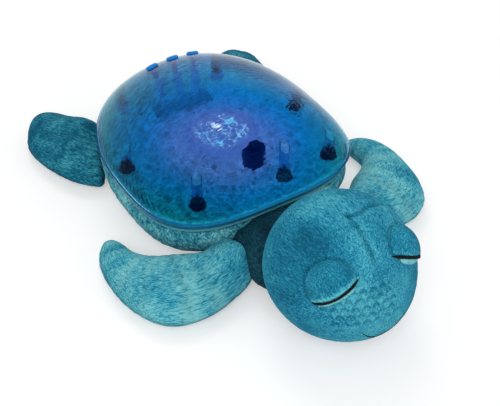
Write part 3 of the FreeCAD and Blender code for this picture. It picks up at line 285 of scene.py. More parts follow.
def glowing_plastic(name, colour, light, strength, foot=None, way="Z"):
    """Moulded plastic close to the lamp, unevenly lit by it and dark up to its foot."""
    made = moulded_plastic(name, colour, roughness=0.5, level=0.2)
    add, shader = partial(add_node, made.node_tree), made.node_tree.nodes["Principled BSDF"]
    place = add("TexCoord").outputs["Object"]
    waves = add("TexNoise", {"Scale": 1 / (6 * mm), "Vector": place})
    uneven = add("MapRange", {"To": (0.5 * strength, 1.5 * strength), "Value": waves})
    glow = uneven
    if foot is not None:
        height = add("SeparateXYZ", {"Vector": place})
        lit = add("MapRange", {"From": (foot * mm, (foot + 5) * mm), "Value": height.outputs[way]})
        glow = add("Math.MULTIPLY", {0: uneven, 1: lit})
    plug(shader, {"Emission Color": light, "Emission Strength": glow})
    return made


def lit_lens():
    """Rippled acrylic lens over the lamp: violet, with thin bright threads of light, a few pale pools
    and a hot spot above one of the lamps."""
    made, add, shader = finish("rippled_acrylic_lit", {"Roughness": 0.1, "IOR": 1.49,
        "Emission Strength": 1.0, "Base Color": "#3a2f70"})
    place = add("TexCoord").outputs["Object"]
    drift = add("TexNoise", {"Scale": 1 / (5 * mm), "Vector": place})
    bent = add("VectorMath.MULTIPLY_ADD", {1: (6 * mm,) * 3, 0: drift.outputs["Color"], 2: place})
    level = add("Mapping", {"Location": (-3 * mm, -3 * mm, 0.0), "Scale": (1.0, 1.0, 0.0),
        "Vector": bent})
    from_middle = add("VectorMath.LENGTH", {0: level})
    within = add("MapRange", {"From": (21 * mm, 24 * mm), "To": (1.0, 0.0), "Value": from_middle})
    cells = add("TexVoronoi", {"feature": "DISTANCE_TO_EDGE", "Scale": 1 / (7 * mm),
        "Vector": bent})
    lines = add("MapRange", {"From": (0.0, 0.07), "To": (1.0, 0.0), "Value": cells})
    broken = add("TexNoise", {"Scale": 1 / (5 * mm), "Detail": 1.0, "Vector": place})
    some = add("MapRange", {"From": (0.40, 0.56), "Value": broken})
    kept = add("Math.MULTIPLY", {0: lines, 1: some})
    threads = add("Math.MULTIPLY", {0: kept, 1: within})
    pools = None
    for x, y, size in ((12, 8, 6.5), (-14, 5, 3.5), (-11, -12, 6.0), (8, -15, 2.5)):
        away = add("VectorMath.DISTANCE", {1: (x * mm, y * mm, 0.0), 0: level})
        pool = add("MapRange", {"From": (0.55 * size * mm, size * mm), "To": (1.0, 0.0), "Value": away})
        pools = pool if pools is None else add("Math.MAXIMUM", {0: pools, 1: pool})
    mottle = add("TexNoise", {"Scale": 1 / (3.5 * mm), "Vector": bent})
    patchy = add("MapRange", {"From": (0.38, 0.58), "Value": mottle})
    pooled = add("Math.MULTIPLY", {0: pools, 1: patchy})
    away = add("VectorMath.DISTANCE", {1: (-0.5 * mm, 7.5 * mm, 0.0), 0: level})
    spot = add("MapRange", {"From": (1.6 * mm, 4.8 * mm), "To": (1.0, 0.0), "Value": away})
    colour = None
    for fac, tone, strength in ((None, "#d4a0c8", 0.9), (pooled, "#dbffef", 1.35),
                                (threads, "#ffcbb4", 3.2), (spot, "#ffa080", 8.0)):
        ray = add("VectorMath.SCALE", {0: linear(tone)[:3], "Scale": strength})
        colour = ray if colour is None else add("Mix.MIX", {"data_type": "VECTOR", 0: fac, 4: colour,
            5: ray})
    plug(shader, {"Emission Color": colour})
    return made


def metal(name, colour, roughness):
    """Bare sheet or turned steel: metallic, with fine drawn lines that streak its shine."""
    made, add, shader = finish(name, {"Base Color": colour, "Metallic": 1.0})
    place = add("TexCoord").outputs["Object"]
    drawn = add("Mapping", {"Scale": (1 / (0.25 * mm), 1 / (4.0 * mm), 1 / (0.25 * mm)),
        "Vector": place})
    lines = add("TexNoise", {"Scale": 1.0, "Vector": drawn})
    dull = add("MapRange", {"To": (roughness - 0.1, roughness + 0.15), "Value": lines})
    relief = add("Bump", {"Strength": 0.3, "Distance": 0.02 * mm, "Height": lines})
    plug(shader, {"Roughness": dull, "Normal": relief})
    return made


def clear_plastic(name, colour):
    """Clear acrylic, faintly tinted, with a few moulding streaks that show in its shine."""
    made, add, shader = finish(name, {"Base Color": colour, "IOR": 1.49,
        "Transmission Weight": 0.85})
    place = add("TexCoord").outputs["Object"]
    streak = add("TexNoise", {"Scale": 1 / (3 * mm), "Vector": place})
    dull = add("MapRange", {"To": (0.04, 0.2), "Value": streak})
    plug(shader, {"Roughness": dull})
    return made


def circuit_board():
    """Glass-epoxy board under green solder mask: faint woven glass, raised copper tracks."""
    made, add, shader = finish("green_circuit_board", {"Roughness": 0.35, "IOR": 1.55})
    place = add("TexCoord").outputs["Object"]
    weave = add("TexWave", {"Scale": 1 / (1.2 * mm), "Distortion": 0.4, "Vector": place})
    tracks = add("TexVoronoi", {"distance": "MANHATTAN", "Scale": 1 / (3.4 * mm), "Vector": place})
    copper = add("MapRange", {"From": (0.42, 0.47), "Value": tracks})
    mask = add("Mix.MIX", {6: "#17603a", 7: "#2c8350", 0: copper})
    toned = add("Mix.MULTIPLY", {0: 0.15, 6: mask, 7: weave.outputs["Color"]})
    relief = add("Bump", {"Strength": 0.5, "Distance": 0.05 * mm, "Height": copper})
    plug(shader, {"Base Color": toned, "Normal": relief})
    return made


def woven_tape():
    """Plain-woven nylon tape: crossing threads, slightly shiny."""
    made, add, shader = finish("nylon_tape", {"Roughness": 0.75, "Sheen Weight": 0.15,
        "Specular IOR Level": 0.3})
    place = add("TexCoord").outputs["Object"]
    thread = 0.35 * mm
    warp, weft = (add("TexWave", {"bands_direction": way, "Scale": 0.5 / (thread * math.pi),
        "Vector": place}) for way in "XY")
    cross = add("Math.MULTIPLY", {0: warp.outputs["Fac"], 1: weft.outputs["Fac"]})
    colour = add("ValToRGB", {"stops": [(0.0, "#20586a"), (1.0, "#3b8293")], "Fac": cross})
    relief = add("Bump", {"Strength": 0.6, "Distance": 0.15 * mm, "Height": cross})
    plug(shader, {"Base Color": colour, "Normal": relief})
    return made


def embroidery_thread():
    """Black rayon thread laid side by side: each strand has a thin satin shine along its length."""
    made, add, shader = finish("black_satin_thread", {"Specular IOR Level": 0.15})
    place = add("TexCoord").outputs["Object"]
    twist = add("TexNoise", {"Scale": 1 / (0.5 * mm), "Vector": place})
    colour = add("ValToRGB", {"stops": [(0.3, "#010304"), (0.7, "#070d11")], "Fac": twist})
    dull = add("MapRange", {"To": (0.4, 0.65), "Value": twist})
    plug(shader, {"Base Color": colour, "Roughness": dull})
    return made


def battery_sleeve():
    """Plastic sleeve of a cell with bare nickel ends: dark, with one plain copper band."""
    made, add, shader = finish("cell_sleeve", {"Roughness": 0.28})
    place = add("TexCoord").outputs["Object"]
    parts = add("SeparateXYZ", {"Vector": place})
    away = add("Math.ABSOLUTE", {0: parts.outputs["X"]})
    colour = add("ValToRGB", {"stops": [(0.0, "#1b1d20"), (0.017, "#b8733a"), (0.0243, "#c8c9c6")],
        "Fac": away})
    colour.color_ramp.interpolation = "CONSTANT"
    scuff = add("TexNoise", {"Scale": 1 / (2 * mm), "Vector": place})
    relief = add("Bump", {"Strength": 0.2, "Distance": 0.03 * mm, "Height": scuff})
    plug(shader, {"Base Color": colour, "Normal": relief})
    return made


def paper_cone():
    """Pressed paper pulp: dark grey and fibrous."""
    made, add, shader = finish("speaker_paper", {"Roughness": 0.9})
    place = add("TexCoord").outputs["Object"]
    pulp = add("TexNoise", {"Scale": 1 / (0.8 * mm), "Detail": 4.0, "Vector": place})
    colour = add("ValToRGB", {"stops": [(0.3, "#1f2123"), (0.7, "#3a3c3e")], "Fac": pulp})
    relief = add("Bump", {"Strength": 0.6, "Distance": 0.1 * mm, "Height": pulp})
    plug(shader, {"Base Color": colour, "Normal": relief})
    return made


# Meshes

def points_of(mesh):
    places = np.empty(len(mesh.vertices) * 3)
    mesh.vertices.foreach_get("co", places)
    return places.reshape(-1, 3)


def normals_of(mesh):
    values = np.empty(len(mesh.vertices) * 3)
    mesh.vertex_normals.foreach_get("vector", values)
    return values.reshape(-1, 3)


def put_points(mesh, places):
    mesh.vertices.foreach_set("co", np.ascontiguousarray(places, np.float32).ravel())
    mesh.update()


def new_object(name, data):
    made = bpy.data.objects.new(name, data)
    scene.collection.objects.link(made)
    return made


def as_shown(piece):
    """The mesh of a piece with its modifiers worked in."""
    graph = bpy.context.evaluated_depsgraph_get()
    return bpy.data.meshes.new_from_object(piece.evaluated_get(graph))


def settled(piece):
    """Bakes the modifiers of a piece into its mesh."""
    mesh = as_shown(piece)
    piece.modifiers.clear()
    piece.data = mesh
    return mesh


def piece_from(form, name, material, smooth=False):
    """A new piece from a form that has been built, in one finish."""
    mesh = bpy.data.meshes.new(name)
    form.to_mesh(mesh)
    form.free()
    if smooth:
        mesh.shade_smooth()
    mesh.materials.append(material)
    return new_object(name, mesh)


def merged_copy(node):
    """A closed copy of a CAD node's mesh, its loose triangles joined."""
    mesh = nodes[node].data.copy()
    mesh.materials.clear()
    form = bmesh.new()
    form.from_mesh(mesh)
    bmesh.ops.remove_doubles(form, verts=form.verts, dist=0.01 * mm)
    form.to_mesh(mesh)
    form.free()
    return mesh


def grain(places, size, seed):
    """Soft noise from -1 to 1 at each point; size is one length or three, in metres."""
    scaled = places / np.asarray(size) + seed
    return np.array([noise.noise(Vector(p)) for p in scaled])


def near_line(places, line):
    """Distance of each point from a line through the given spots."""
    best = np.full(len(places), 1e9)
    for a, b in zip(line, line[1:]):
        a, b = np.array(a), np.array(b)
        share = np.clip((places - a) @ (b - a) / max((b - a) @ (b - a), 1e-12), 0, 1)
        best = np.minimum(best, np.linalg.norm(places - a - share[:, None] * (b - a), axis=1))
    return best


def bell(distance, width):
    return np.exp(-(distance / width) ** 2)


def step(value, low, high):
    share = np.clip((value - low) / (high - low), 0, 1)
    return share * share * (3 - 2 * share)


# Stuffed pieces

def cut_cloth(node, name, voxel, slack):
    """The sewn cover before stuffing: the CAD form remeshed and drawn in by the slack."""
    piece = new_object(name, merged_copy(node))
    remesh = piece.modifiers.new("cloth", "REMESH")
    remesh.mode, remesh.voxel_size = "VOXEL", voxel * mm
    mesh = settled(piece)
    put_points(mesh, points_of(mesh) - normals_of(mesh) * slack * mm)
    return piece


def stuff(covers):
    """Fills the covers: each swells by most of its cap, save where its seams hold it, and shifts a
    little the way that cloth goes under light air pressure."""
    starts = [points_of(piece.data) for piece, cap, held in covers]
    for (piece, cap, held), start in zip(covers, starts):
        cloth = piece.modifiers.new("filling", "CLOTH").settings
        cloth.use_pressure = True
        cloth.uniform_pressure_force = filling_pressure
        cloth.effector_weights.gravity = 0.0
        cloth.quality = 4
        if held is not None:
            seam = piece.vertex_groups.new(name="seam")
            seam.add(np.nonzero(held(start))[0].tolist(), 1.0, "REPLACE")
            cloth.vertex_group_mass = "seam"
    for moment in range(1, filling_frames + 1):
        scene.frame_set(moment)
    for (piece, cap, held), start in zip(covers, starts):
        swell = normals_of(piece.data) * cap * mm * swell_share
        if held is not None:
            swell[held(start)] = 0
        shift = points_of(settled(piece)) - start
        length = np.maximum(np.linalg.norm(shift, axis=1), 1e-9)
        swell += shift * np.minimum(1, shift_share * cap * mm / length)[:, None]
        places = start + swell
        places[:, 2] = np.maximum(places[:, 2], floor_clearance)
        put_points(piece.data, places)
    scene.frame_set(1)


def refine(piece, levels):
    smooth = piece.modifiers.new("round", "SUBSURF")
    smooth.levels = smooth.render_levels = levels
    settled(piece)


def straight_pile(places, direction):
    along = np.array(Vector(direction).normalized())
    across = np.cross(along, (0, 0, 1))
    across /= max(np.linalg.norm(across), 1e-6)
    through = np.cross(across, along)
    return np.stack([places @ across, places @ along, places @ through], 1)


def round_curl(places):
    """How far each point is from the middle of a front flipper's curl, and its turn about it."""
    offset = places[:, :2] - np.array(curl_middle)[:2]
    turn = np.arctan2(offset[:, 1], offset[:, 0])
    turn = np.where(turn > math.pi / 2, turn - 2 * math.pi, turn)
    return np.hypot(offset[:, 0], offset[:, 1]), turn


def pull(piece, spots):
    """Moves the points of a piece near each spot: place, reach and move, all in millimetres."""
    places = points_of(piece.data)
    moved = places.copy()
    for spot, reach, move in spots:
        near = bell(np.linalg.norm(places - np.array(spot) * mm, axis=1), reach * mm)
        moved += near[:, None] * np.array(move) * mm
    put_points(piece.data, moved)


def dress(piece, relief, crease, pile, cloth, tone=0.0):
    """Moves the surface out by its relief, in metres, and gives it its finish, the way its pile lies,
    its crease shade, painted into its seams and hollows, and its tone: how much lighter or darker
    the plush is drawn, partly random patches of nap and partly painted highlights and shade."""
    mesh = piece.data
    places = points_of(mesh) + normals_of(mesh) * relief[:, None]
    places[:, 2] = np.maximum(places[:, 2], floor_clearance)
    put_points(mesh, places)
    laid = mesh.attributes.new("pile", "FLOAT_VECTOR", "POINT")
    laid.data.foreach_set("vector", pile.astype(np.float32).ravel())
    for name, values in (("crease", np.clip(crease, 0, 1)), ("tone", tone)):
        shade = mesh.attributes.new(name, "FLOAT", "POINT")
        shade.data.foreach_set("value", np.broadcast_to(values, len(places)).astype(np.float32))
    mesh.shade_smooth()
    mesh.materials.clear()
    mesh.materials.append(cloth)


def tufted(pile, height, seed):
    """Relief of the pile itself: small clumps a few millimetres long."""
    clumps = grain(pile, (1.9 * mm, 5.5 * mm, 1.9 * mm), seed)
    knots = grain(pile, (3.2 * mm, 3.6 * mm, 3.2 * mm), seed + 17)
    return (clumps * 0.6 + knots * 0.4) * height * mm


def facing(side, rise):
    """The direction that many degrees sideways from straight ahead and up."""
    turn, climb = math.radians(side), math.radians(rise)
    level = math.cos(climb)
    return Vector((math.sin(turn) * level, -math.cos(turn) * level, math.sin(climb)))


def from_head(side, rise, distance=1.0):
    """A point that far from the middle of the head, by degrees as the head is turned."""
    return head_middle + head_turn @ facing(side, rise) * distance


def head_line(spots):
    """A seam over the head through spots given in degrees."""
    line = []
    for (side, rise), (next_side, next_rise) in zip(spots, spots[1:]):
        a, b = from_head(side, rise) - head_middle, from_head(next_side, next_rise) - head_middle
        line += [head_middle + a.lerp(b, k / 12).normalized() * head_radius for k in range(12)]
    return line + [from_head(*spots[-1], head_radius)]


def seen_from_head(places):
    """Each point's degrees sideways from straight ahead and up, and its distance from the middle."""
    seen = (places - head_core) @ np.array(head_turn)
    distance = np.linalg.norm(seen, axis=1)
    side = np.degrees(np.arctan2(seen[:, 0], -seen[:, 1]))
    rise = np.degrees(np.arcsin(np.clip(seen[:, 2] / np.maximum(distance, 1e-9), -1, 1)))
    return side, rise, distance


def fish_scales(places, side, rise):
    """Rows of quilted scales over the snout, as a relief from -1 to 1: each is an arch open below,
    with a ridge outside its line and a groove inside; head_surface paints the ridges lighter as
    painted highlight and the grooves darker as painted shade."""
    width, height, wobble = 7.5, 6.2, 0.8
    across = np.radians(side) * head_radius * np.cos(np.radians(rise)) / mm
    across += wobble * grain(places, 9 * mm, 3)
    up = np.radians(rise) * head_radius / mm + wobble * grain(places, 9 * mm, 8)
    arches = []
    for shift in (-1, 0):
        row = np.floor(up / height) + shift
        column = np.floor(across / width + 0.5 * (row % 2)) - 0.5 * (row % 2) + 0.5
        off_middle, off_foot = across - column * width, up - row * height
        arches.append(np.hypot(off_middle / (width * 0.5), off_foot / (height * 1.2)))

    def line(arch):
        return 0.6 * bell(arch - 1.28, 0.22) - bell(arch - 0.93, 0.2) + 0.25 * bell(arch, 0.6)

    relief = line(arches[0]) + line(arches[1]) * step(arches[0], 1.1, 1.3)
    there = step(side, -50, -38) * (1 - step(side, 4, 14))
    there = there * step(rise, -10, 2) * (1 - step(rise, 26, 34))
    return relief, there


def eyelid_place(side, place=None):
    """The middle of an eyelid's ball, the way out and those across and along its lash line."""
    aside, rise, tilt = place or eye_sewn[side]
    outward = (from_head(side * aside, rise) - head_middle).normalized()
    level = outward.cross(head_turn @ Vector((0, 0, 1))).normalized()
    down = outward.cross(level).normalized()
    down = Matrix.Rotation(math.radians(side * tilt), 3, outward) @ down
    middle = head_middle + outward * (head_radius - eyelid_sink)
    return middle, outward, down, down.cross(outward).normalized()


def bend_lid(piece, side, upper):
    """Turns a lid from where it was cut to where it is sewn; bends its edge to the lash line."""
    middle, *axes = eyelid_place(side, eye_cut)
    out, low, along = ((points_of(piece.data) - np.array(middle)) @ np.array(axes).T).T
    line = (0.25 * mm + np.maximum(out, 0) * math.sin(lash_lean)) / math.cos(lash_lean)
    if upper:
        bent = np.where(low > 0, low * line / lash_drop, low)
        radius = np.sqrt(out ** 2 + low ** 2 + along ** 2)
        spare = np.maximum(radius ** 2 - bent ** 2, 0)
        rest = np.sqrt(spare / np.maximum(out ** 2 + along ** 2, 1e-12))
        out, along = out * rest, along * rest
    else:
        bent = line + 0.6 * mm + (low - lash_drop) * 1.6
        along = along * 1.35
        was, skin = (np.sqrt(head_radius ** 2 - drop ** 2 - along ** 2) - head_radius + eyelid_sink
                     for drop in (low, bent))
        proud = out - was
        out = skin + np.where(proud > 0, proud * 1.2, proud)
    middle, *axes = eyelid_place(side)
    put_points(piece.data, np.stack([out, bent, along], 1) @ np.array(axes) + np.array(middle))


crown_seam = head_line(((8, 83), (3, 62), (0, 42), (2, 26), (4, 15), (9, -14)))
side_seam = head_line(((8, 83), (40, 78), (79, 67), (92, 48)))


def head_form(piece):
    """Stuffs the head flatter low on the right cheek and under the chin, fuller on the left."""
    places = points_of(piece.data)
    apart = places - head_core
    outward = apart / np.linalg.norm(apart, axis=1)[:, None]
    for way, width, move in (((-0.84, -0.02, -0.53), 35, -2.0), ((-0.35, -0.56, -0.755), 25, -1.5),
                             ((0.35, -0.76, -0.53), 25, 0.8)):
        angle = np.degrees(np.arccos(np.clip(outward @ np.array(Vector(way).normalized()), -1, 1)))
        places = places + outward * (bell(angle, width) * move * mm)[:, None]
    put_points(piece.data, places)


def head_surface(piece, cloth):
    places = points_of(piece.data)
    pile = straight_pile(places, head_turn @ Vector((0, -1, 0.12)))
    relief = tufted(pile, pile_height, 5)
    side, rise, distance = seen_from_head(places)
    ball = (places - head_core) / distance[:, None] * head_radius + head_core
    crown, cheek = near_line(ball, crown_seam), near_line(ball, side_seam)
    scales, there = fish_scales(places, side, rise)
    strength = 0.2 + 0.8 * step(rise, 34, 50)
    seam = bell(crown, 1.5 * mm) * strength + bell(cheek, 1.5 * mm) * 0.9
    relief -= seam * 0.7 * mm
    ridge = bell(crown - 4 * mm, 2.5 * mm) * strength + bell(cheek - 4 * mm, 2.5 * mm)
    relief += ridge * 0.15 * mm
    relief += scales * there * 0.8 * mm
    lids = 0.0
    for way in (-1, 1):
        middle, outward, down, _ = eyelid_place(way)
        apart = places - np.array(middle)
        reach = np.abs(np.linalg.norm(apart, axis=1) - eyelid_radius)
        above = 1 - step(apart @ np.array(down), 0.0, 6 * mm)
        lids = np.maximum(lids, bell(reach, 0.8 * mm) * above)
    relief -= lids * 0.25 * mm
    # Painted shade along the seams, in the scales' grooves and round the lids
    crease = seam * 0.4 + there * np.clip(-scales, 0, 1) * 0.45 + lids * 0.35
    # Tone: painted shadow over the right temple, the nose lighter and the left cheek darker, and painted
    # highlights on the seam ridges and on the raised scales
    temple_shadow = bell(np.hypot((side + 88) * 0.5, rise - 52), 19)
    nose = bell(np.hypot(side + 12, (rise - 8) * 0.8), 24)
    cheek_left = bell(np.hypot(side + 90, rise - 15), 24)
    tone = 0.12 * nose - 0.22 * temple_shadow - 0.07 * cheek_left + 0.04 * ridge
    tone += 0.06 * there * np.clip(scales, -0.3, 1)
    dress(piece, relief, crease, pile, cloth, tone)


def torso_surface(piece, cloth):
    places = points_of(piece.data)
    walls = 1 - np.abs(normals_of(piece.data)[:, 2])
    band = step(places[:, 2], 2 * mm, 14 * mm) * (1 - step(places[:, 2], 34 * mm, 42 * mm))
    bulge = walls * band * 2.3 * mm
    pile = straight_pile(places, (0.25, 0.1, -1))
    curls = grain(places, 2.8 * mm, 31) * 0.6 + grain(places, 1.9 * mm, 32) * 0.4
    relief = curls * 0.8 * mm + bulge
    # Painted shade in the hollows between the curls; the tone below paints highlights on their tops
    crease = np.clip(-curls, 0, 1) * 0.6
    dress(piece, relief, crease, pile, cloth, np.clip(curls, -1, 1) * 0.25 + 0.04)


def front_flipper_surface(piece, cloth, side):
    right = points_of(piece.data) * (-side, 1, 1)
    radius, turn = round_curl(right)
    pile = np.stack([radius, turn * curl_radius, right[:, 2]], 1)
    relief = tufted(pile, pile_height, 21 + side)
    turn = np.degrees(turn)
    wobble = grain(right, 14 * mm, 4) * 4
    fold = 0.0
    for place, width, depth in ((-133, 3.5, 0.5), (-104, 4.0, 0.7), (-84, 3.5, 0.5),
                                (-158, 5.0, 0.3)):
        fold += depth * bell(turn + wobble - place, width)
    upper = step(right[:, 2], 8 * mm, 20 * mm)
    relief -= fold * upper * 0.9 * mm
    edge = bell(right[:, 2] - edge_seam, 1.4 * mm)
    relief -= edge * 0.5 * mm
    # Painted shade in the folds and along the edge seam
    crease = fold * upper * 0.3 + edge * 0.4
    # Painted shadow: the plush is drawn darker near the root, where the flipper meets the body
    root_shadow = 1 - step(np.abs(right[:, 0]), 58 * mm, 86 * mm)
    bands = grain(np.stack([pile[:, 0] * 0.2, pile[:, 1], pile[:, 2] * 0.2], 1), 8 * mm, 77 + side)
    tip = step(turn, -60, -20)
    tone = 0.12 * bands * (1 - 0.6 * root_shadow) - 0.10 * root_shadow - 0.10 * tip + 0.04
    dress(piece, relief, crease, pile, cloth, tone)


def rear_flipper_surface(piece, cloth, side):
    right = points_of(piece.data) * (-side, 1, 1)
    pile = straight_pile(right, (-0.47, 0.88, 0))
    relief = tufted(pile, pile_height, 41 + side)
    seam = np.array(rear_seam)
    outward = np.array(rear_outward)
    away = (right - seam) @ outward
    level = np.array((-outward[1], outward[0], 0))
    along = (right - seam) @ level
    fan = along / (1 + away / (70 * mm)) / mm
    fan = fan + 1.2 * grain(right, 9 * mm, 6)
    gathers = np.abs(np.sin(fan * math.pi / 6.5)) ** 0.7 - 0.6
    fade = 1 - step(away, 4 * mm, 30 * mm)
    relief += gathers * fade * 1.9 * mm
    relief -= bell(away, 3 * mm) * 0.8 * mm
    edge = bell(right[:, 2] - edge_seam, 1.4 * mm) * step(away, 20 * mm, 30 * mm)
    relief -= edge * 0.4 * mm
    # Painted shade in the gathers, at the seam where the flipper is sewn on and along the edge
    crease = np.clip(-gathers * 1.4, 0, 1) * fade * 0.9 + bell(away, 4 * mm) * 0.6 + edge * 0.35
    bands = grain(pile * (0.6, 1.0, 0.6), 7 * mm, 83 + side)
    dress(piece, relief, crease, pile, cloth, 0.10 * bands)


def eyelid_surface(piece, cloth, side, upper):
    places = points_of(piece.data)
    middle, outward, down, _ = eyelid_place(side)
    pile = straight_pile(places, down)
    skin = np.abs(np.linalg.norm(places - head_core, axis=1) - head_radius)
    relief = tufted(pile, 0.22, 51 + side)
    if upper:
        apart = places - np.array(middle)
        above_lash = (apart @ np.array(outward) * math.sin(lash_lean)
                      - apart @ np.array(down) * math.cos(lash_lean))
        # Painted shade where the upper lid meets the head
        crease = bell(skin, 0.6 * mm) * 0.9
        # Painted highlight: the upper lid is drawn lighter just above the lash, most on the right eye, whose lid
        # is also lighter towards +X
        tone = (0.3 if side < 0 else 0.08) * (1 - step(above_lash, 0.5 * mm, 5.5 * mm)) - 0.08
        tone += (0.2 if side < 0 else 0.0) * step(apart[:, 0], 8 * mm, 17 * mm)
    else:
        relief = relief * 0.5 + 0.7 * mm
        # Painted shade where the lower lid meets the head
        crease = bell(skin, 0.9 * mm) * 0.8
        tone = 0.1
    dress(piece, relief, crease, pile, cloth, tone)


def plain_surface(piece, cloth, direction, height, seed):
    pile = straight_pile(points_of(piece.data), direction)
    dress(piece, tufted(pile, height, seed), 0.0, pile, cloth)


# Stitches, tapes and leads

def satin_stitches(name, path, across, thread):
    """Short thread turns laid side by side over a line, narrower at its ends, as small beads."""
    form = bmesh.new()
    for k, ((place, out), (later, _)) in enumerate(zip(path, path[1:])):
        forward = (later - place).normalized()
        lean = (out.cross(forward) + forward * 0.35).normalized()
        rest = out.cross(lean).normalized()
        width = across * min(1.0, 0.4 + 5 * min(k, len(path) - 2 - k) / len(path))
        turned = Matrix((rest * thread, lean * width / 2, out * thread * 1.6)).transposed().to_4x4()
        turned.translation = place
        bmesh.ops.create_uvsphere(form, u_segments=6, v_segments=5, radius=1.0, matrix=turned)
    bmesh.ops.recalc_face_normals(form, faces=form.faces)
    piece = piece_from(form, name, thread_black, smooth=True)
    return piece


def lash_path(side, spacing):
    """The lash line: an arc on the eyelid's ball, as far as it stands out of the head."""
    middle, outward, down, along = eyelid_place(side)
    across = down * math.cos(lash_lean) - outward * math.sin(lash_lean)
    ahead = outward * math.cos(lash_lean) + down * math.sin(lash_lean)
    ring = eyelid_radius - 0.3 * mm
    path = []
    count = int(math.pi * ring / spacing)
    for k in range(count + 1):
        turn = math.pi * (k / count - 0.5)
        way = ahead * math.cos(turn) + along * math.sin(turn)
        place = middle + across * 1.3 * mm + way * ring
        if (place - head_middle).length > head_radius - 0.4 * mm:
            path.append((place, (place - middle).normalized()))
    return path


def mouth_path(cover):
    """The smile under the snout, laid on the head's cover."""
    path = []
    for side in np.linspace(-19, 19, 80):
        spot = from_head(side, -25 + 15 * (side / 19) ** 2, head_radius)
        _, place, normal, _ = cover.closest_point_on_mesh(spot)
        path.append((place, normal))
    return path


def lead_wire(name, spots):
    """A thin insulated lead along one smooth line through its route."""
    curve = bpy.data.curves.new(name, "CURVE")
    curve.dimensions = "3D"
    line = curve.splines.new("NURBS")
    line.points.add(len(spots) - 1)
    for point, spot in zip(line.points, spots):
        point.co = (*[c * mm for c in spot], 1.0)
    line.order_u = 3
    line.use_endpoint_u = True
    line.resolution_u = 10
    curve.bevel_depth = 0.9 * mm
    curve.bevel_resolution = 3
    curve.use_fill_caps = True
    flow = new_object(name + "_curve", curve)
    mesh = as_shown(flow)
    bpy.data.objects.remove(flow)
    mesh.materials.clear()
    return new_object(name + "_wire", mesh)


def strip(low, high, rounding):
    """A flat strip between two corners, its edges rounded."""
    form = bmesh.new()
    bmesh.ops.create_cube(form, size=1.0,
        matrix=Matrix.Translation((low + high) / 2) @ Matrix.Diagonal((*(high - low), 1)))
    bmesh.ops.bevel(form, geom=form.edges[:], offset=rounding, segments=2, profile=0.5,
        affect="EDGES", material=-1)
    return form


def hooked_strip():
    """Hook tape: a base strip with rows of small bent hooks."""
    low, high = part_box("hook_tape")
    size = high - low
    top = low.z + 0.35 * mm
    form = strip(low, Vector((high.x, high.y, top)), 0.1 * mm)
    columns, rows = 34, 3
    for k in range(columns):
        for row in range(rows):
            x = low.x + size.x * (k + 0.5 + 0.25 * (row % 2)) / (columns + 0.5)
            y = low.y + size.y * (row + 0.5) / rows
            bmesh.ops.create_cone(form, cap_ends=True, segments=6, radius1=0.16 * mm,
                radius2=0.11 * mm, depth=0.3 * mm,
                matrix=Matrix.Translation((x, y, top + 0.12 * mm)))
            bend = Matrix.Translation((x + 0.08 * mm, y, top + 0.27 * mm))
            bmesh.ops.create_uvsphere(form, u_segments=6, v_segments=4, radius=0.16 * mm,
                matrix=bend @ Matrix.Diagonal((1.5, 1, 0.8, 1)))
    return piece_from(form, "hook_strip", nylon_tape)


def looped_strip():
    """Loop tape: a fuzzy strip sewn above the opening."""
    low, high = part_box("loop_tape")
    form = strip(low, high, 0.2 * mm)
    half = (high.x - low.x) / 2
    long_edges = [e for e in form.edges if abs((e.verts[0].co - e.verts[1].co).x) > half]
    bmesh.ops.subdivide_edges(form, edges=long_edges, cuts=90, use_grid_fill=True)
    for vert in form.verts:
        vert.co += vert.normal * noise.noise(vert.co / (0.9 * mm)) * 0.08 * mm
    return piece_from(form, "loop_strip", nylon_tape, smooth=True)


# Stage

def seen_plainly(add):
    """1 for rays that come from the camera, straight, mirrored or through clear pieces; else 0."""
    path = add("LightPath")
    seen = add("Math.MAXIMUM", {0: path.outputs["Is Camera Ray"], 1: path.outputs["Is Glossy Ray"]})
    return add("Math.MAXIMUM", {0: seen, 1: path.outputs["Is Transmission Ray"]})


def aimed(name, data, place, way):
    """Sets up a lamp or a camera that looks along a direction."""
    holder = new_object(name, data)
    holder.location = place
    holder.rotation_euler = way.to_track_quat("-Z", "Y").to_euler()
    return holder


def studio():
    """White sweep under soft daylight that is stronger from the sides than from above, with a large
    lamp in front, a weaker one behind and a small one that shines in glossy pieces."""
    air = bpy.data.worlds.new("studio_air")
    scene.world = air
    air.use_nodes = True
    add = partial(add_node, air.node_tree)
    way = add("TexCoord").outputs["Generated"]
    height = add("SeparateXYZ", {"Vector": way}).outputs["Z"]
    daylight = add("MapRange", {"To": (0.80, 0.42), "Value": height})
    level = add("MapRange", {"To Max": 1.0, "Value": seen_plainly(add), "To Min": daylight})
    plug(air.node_tree.nodes["Background"], {"Strength": level, "Color": "#ffffff"})

    paper, add, shader = finish("white_paper", {"Base Color": "#d6d6d6", "Roughness": 1.0,
        "Specular IOR Level": 0.0, "Emission Color": "#ffffff"})
    lift = add("Math.MULTIPLY", {1: 0.39, 0: seen_plainly(add)})
    plug(shader, {"Emission Strength": lift})
    form = bmesh.new()
    bmesh.ops.create_grid(form, x_segments=1, y_segments=1, size=3.0)
    piece_from(form, "paper_sweep", paper)

    target = Vector((0, -0.05, 0.03))
    for name, place, size, power, shine in (("front_softbox", (-1.1, -1.5, 1.9), 1.4, 28.0, False),
                                            ("back_softbox", (0.4, 1.2, 1.9), 1.2, 9.0, False),
                                            ("edge_lamp", (0.85, -1.75, 0.95), 0.3, 3.0, True)):
        lamp = bpy.data.lights.new(name, "AREA")
        lamp.shape = "DISK"
        lamp.size, lamp.energy = size, power
        holder = aimed(name, lamp, place, target - Vector(place))
        holder.visible_glossy = holder.visible_transmission = shine


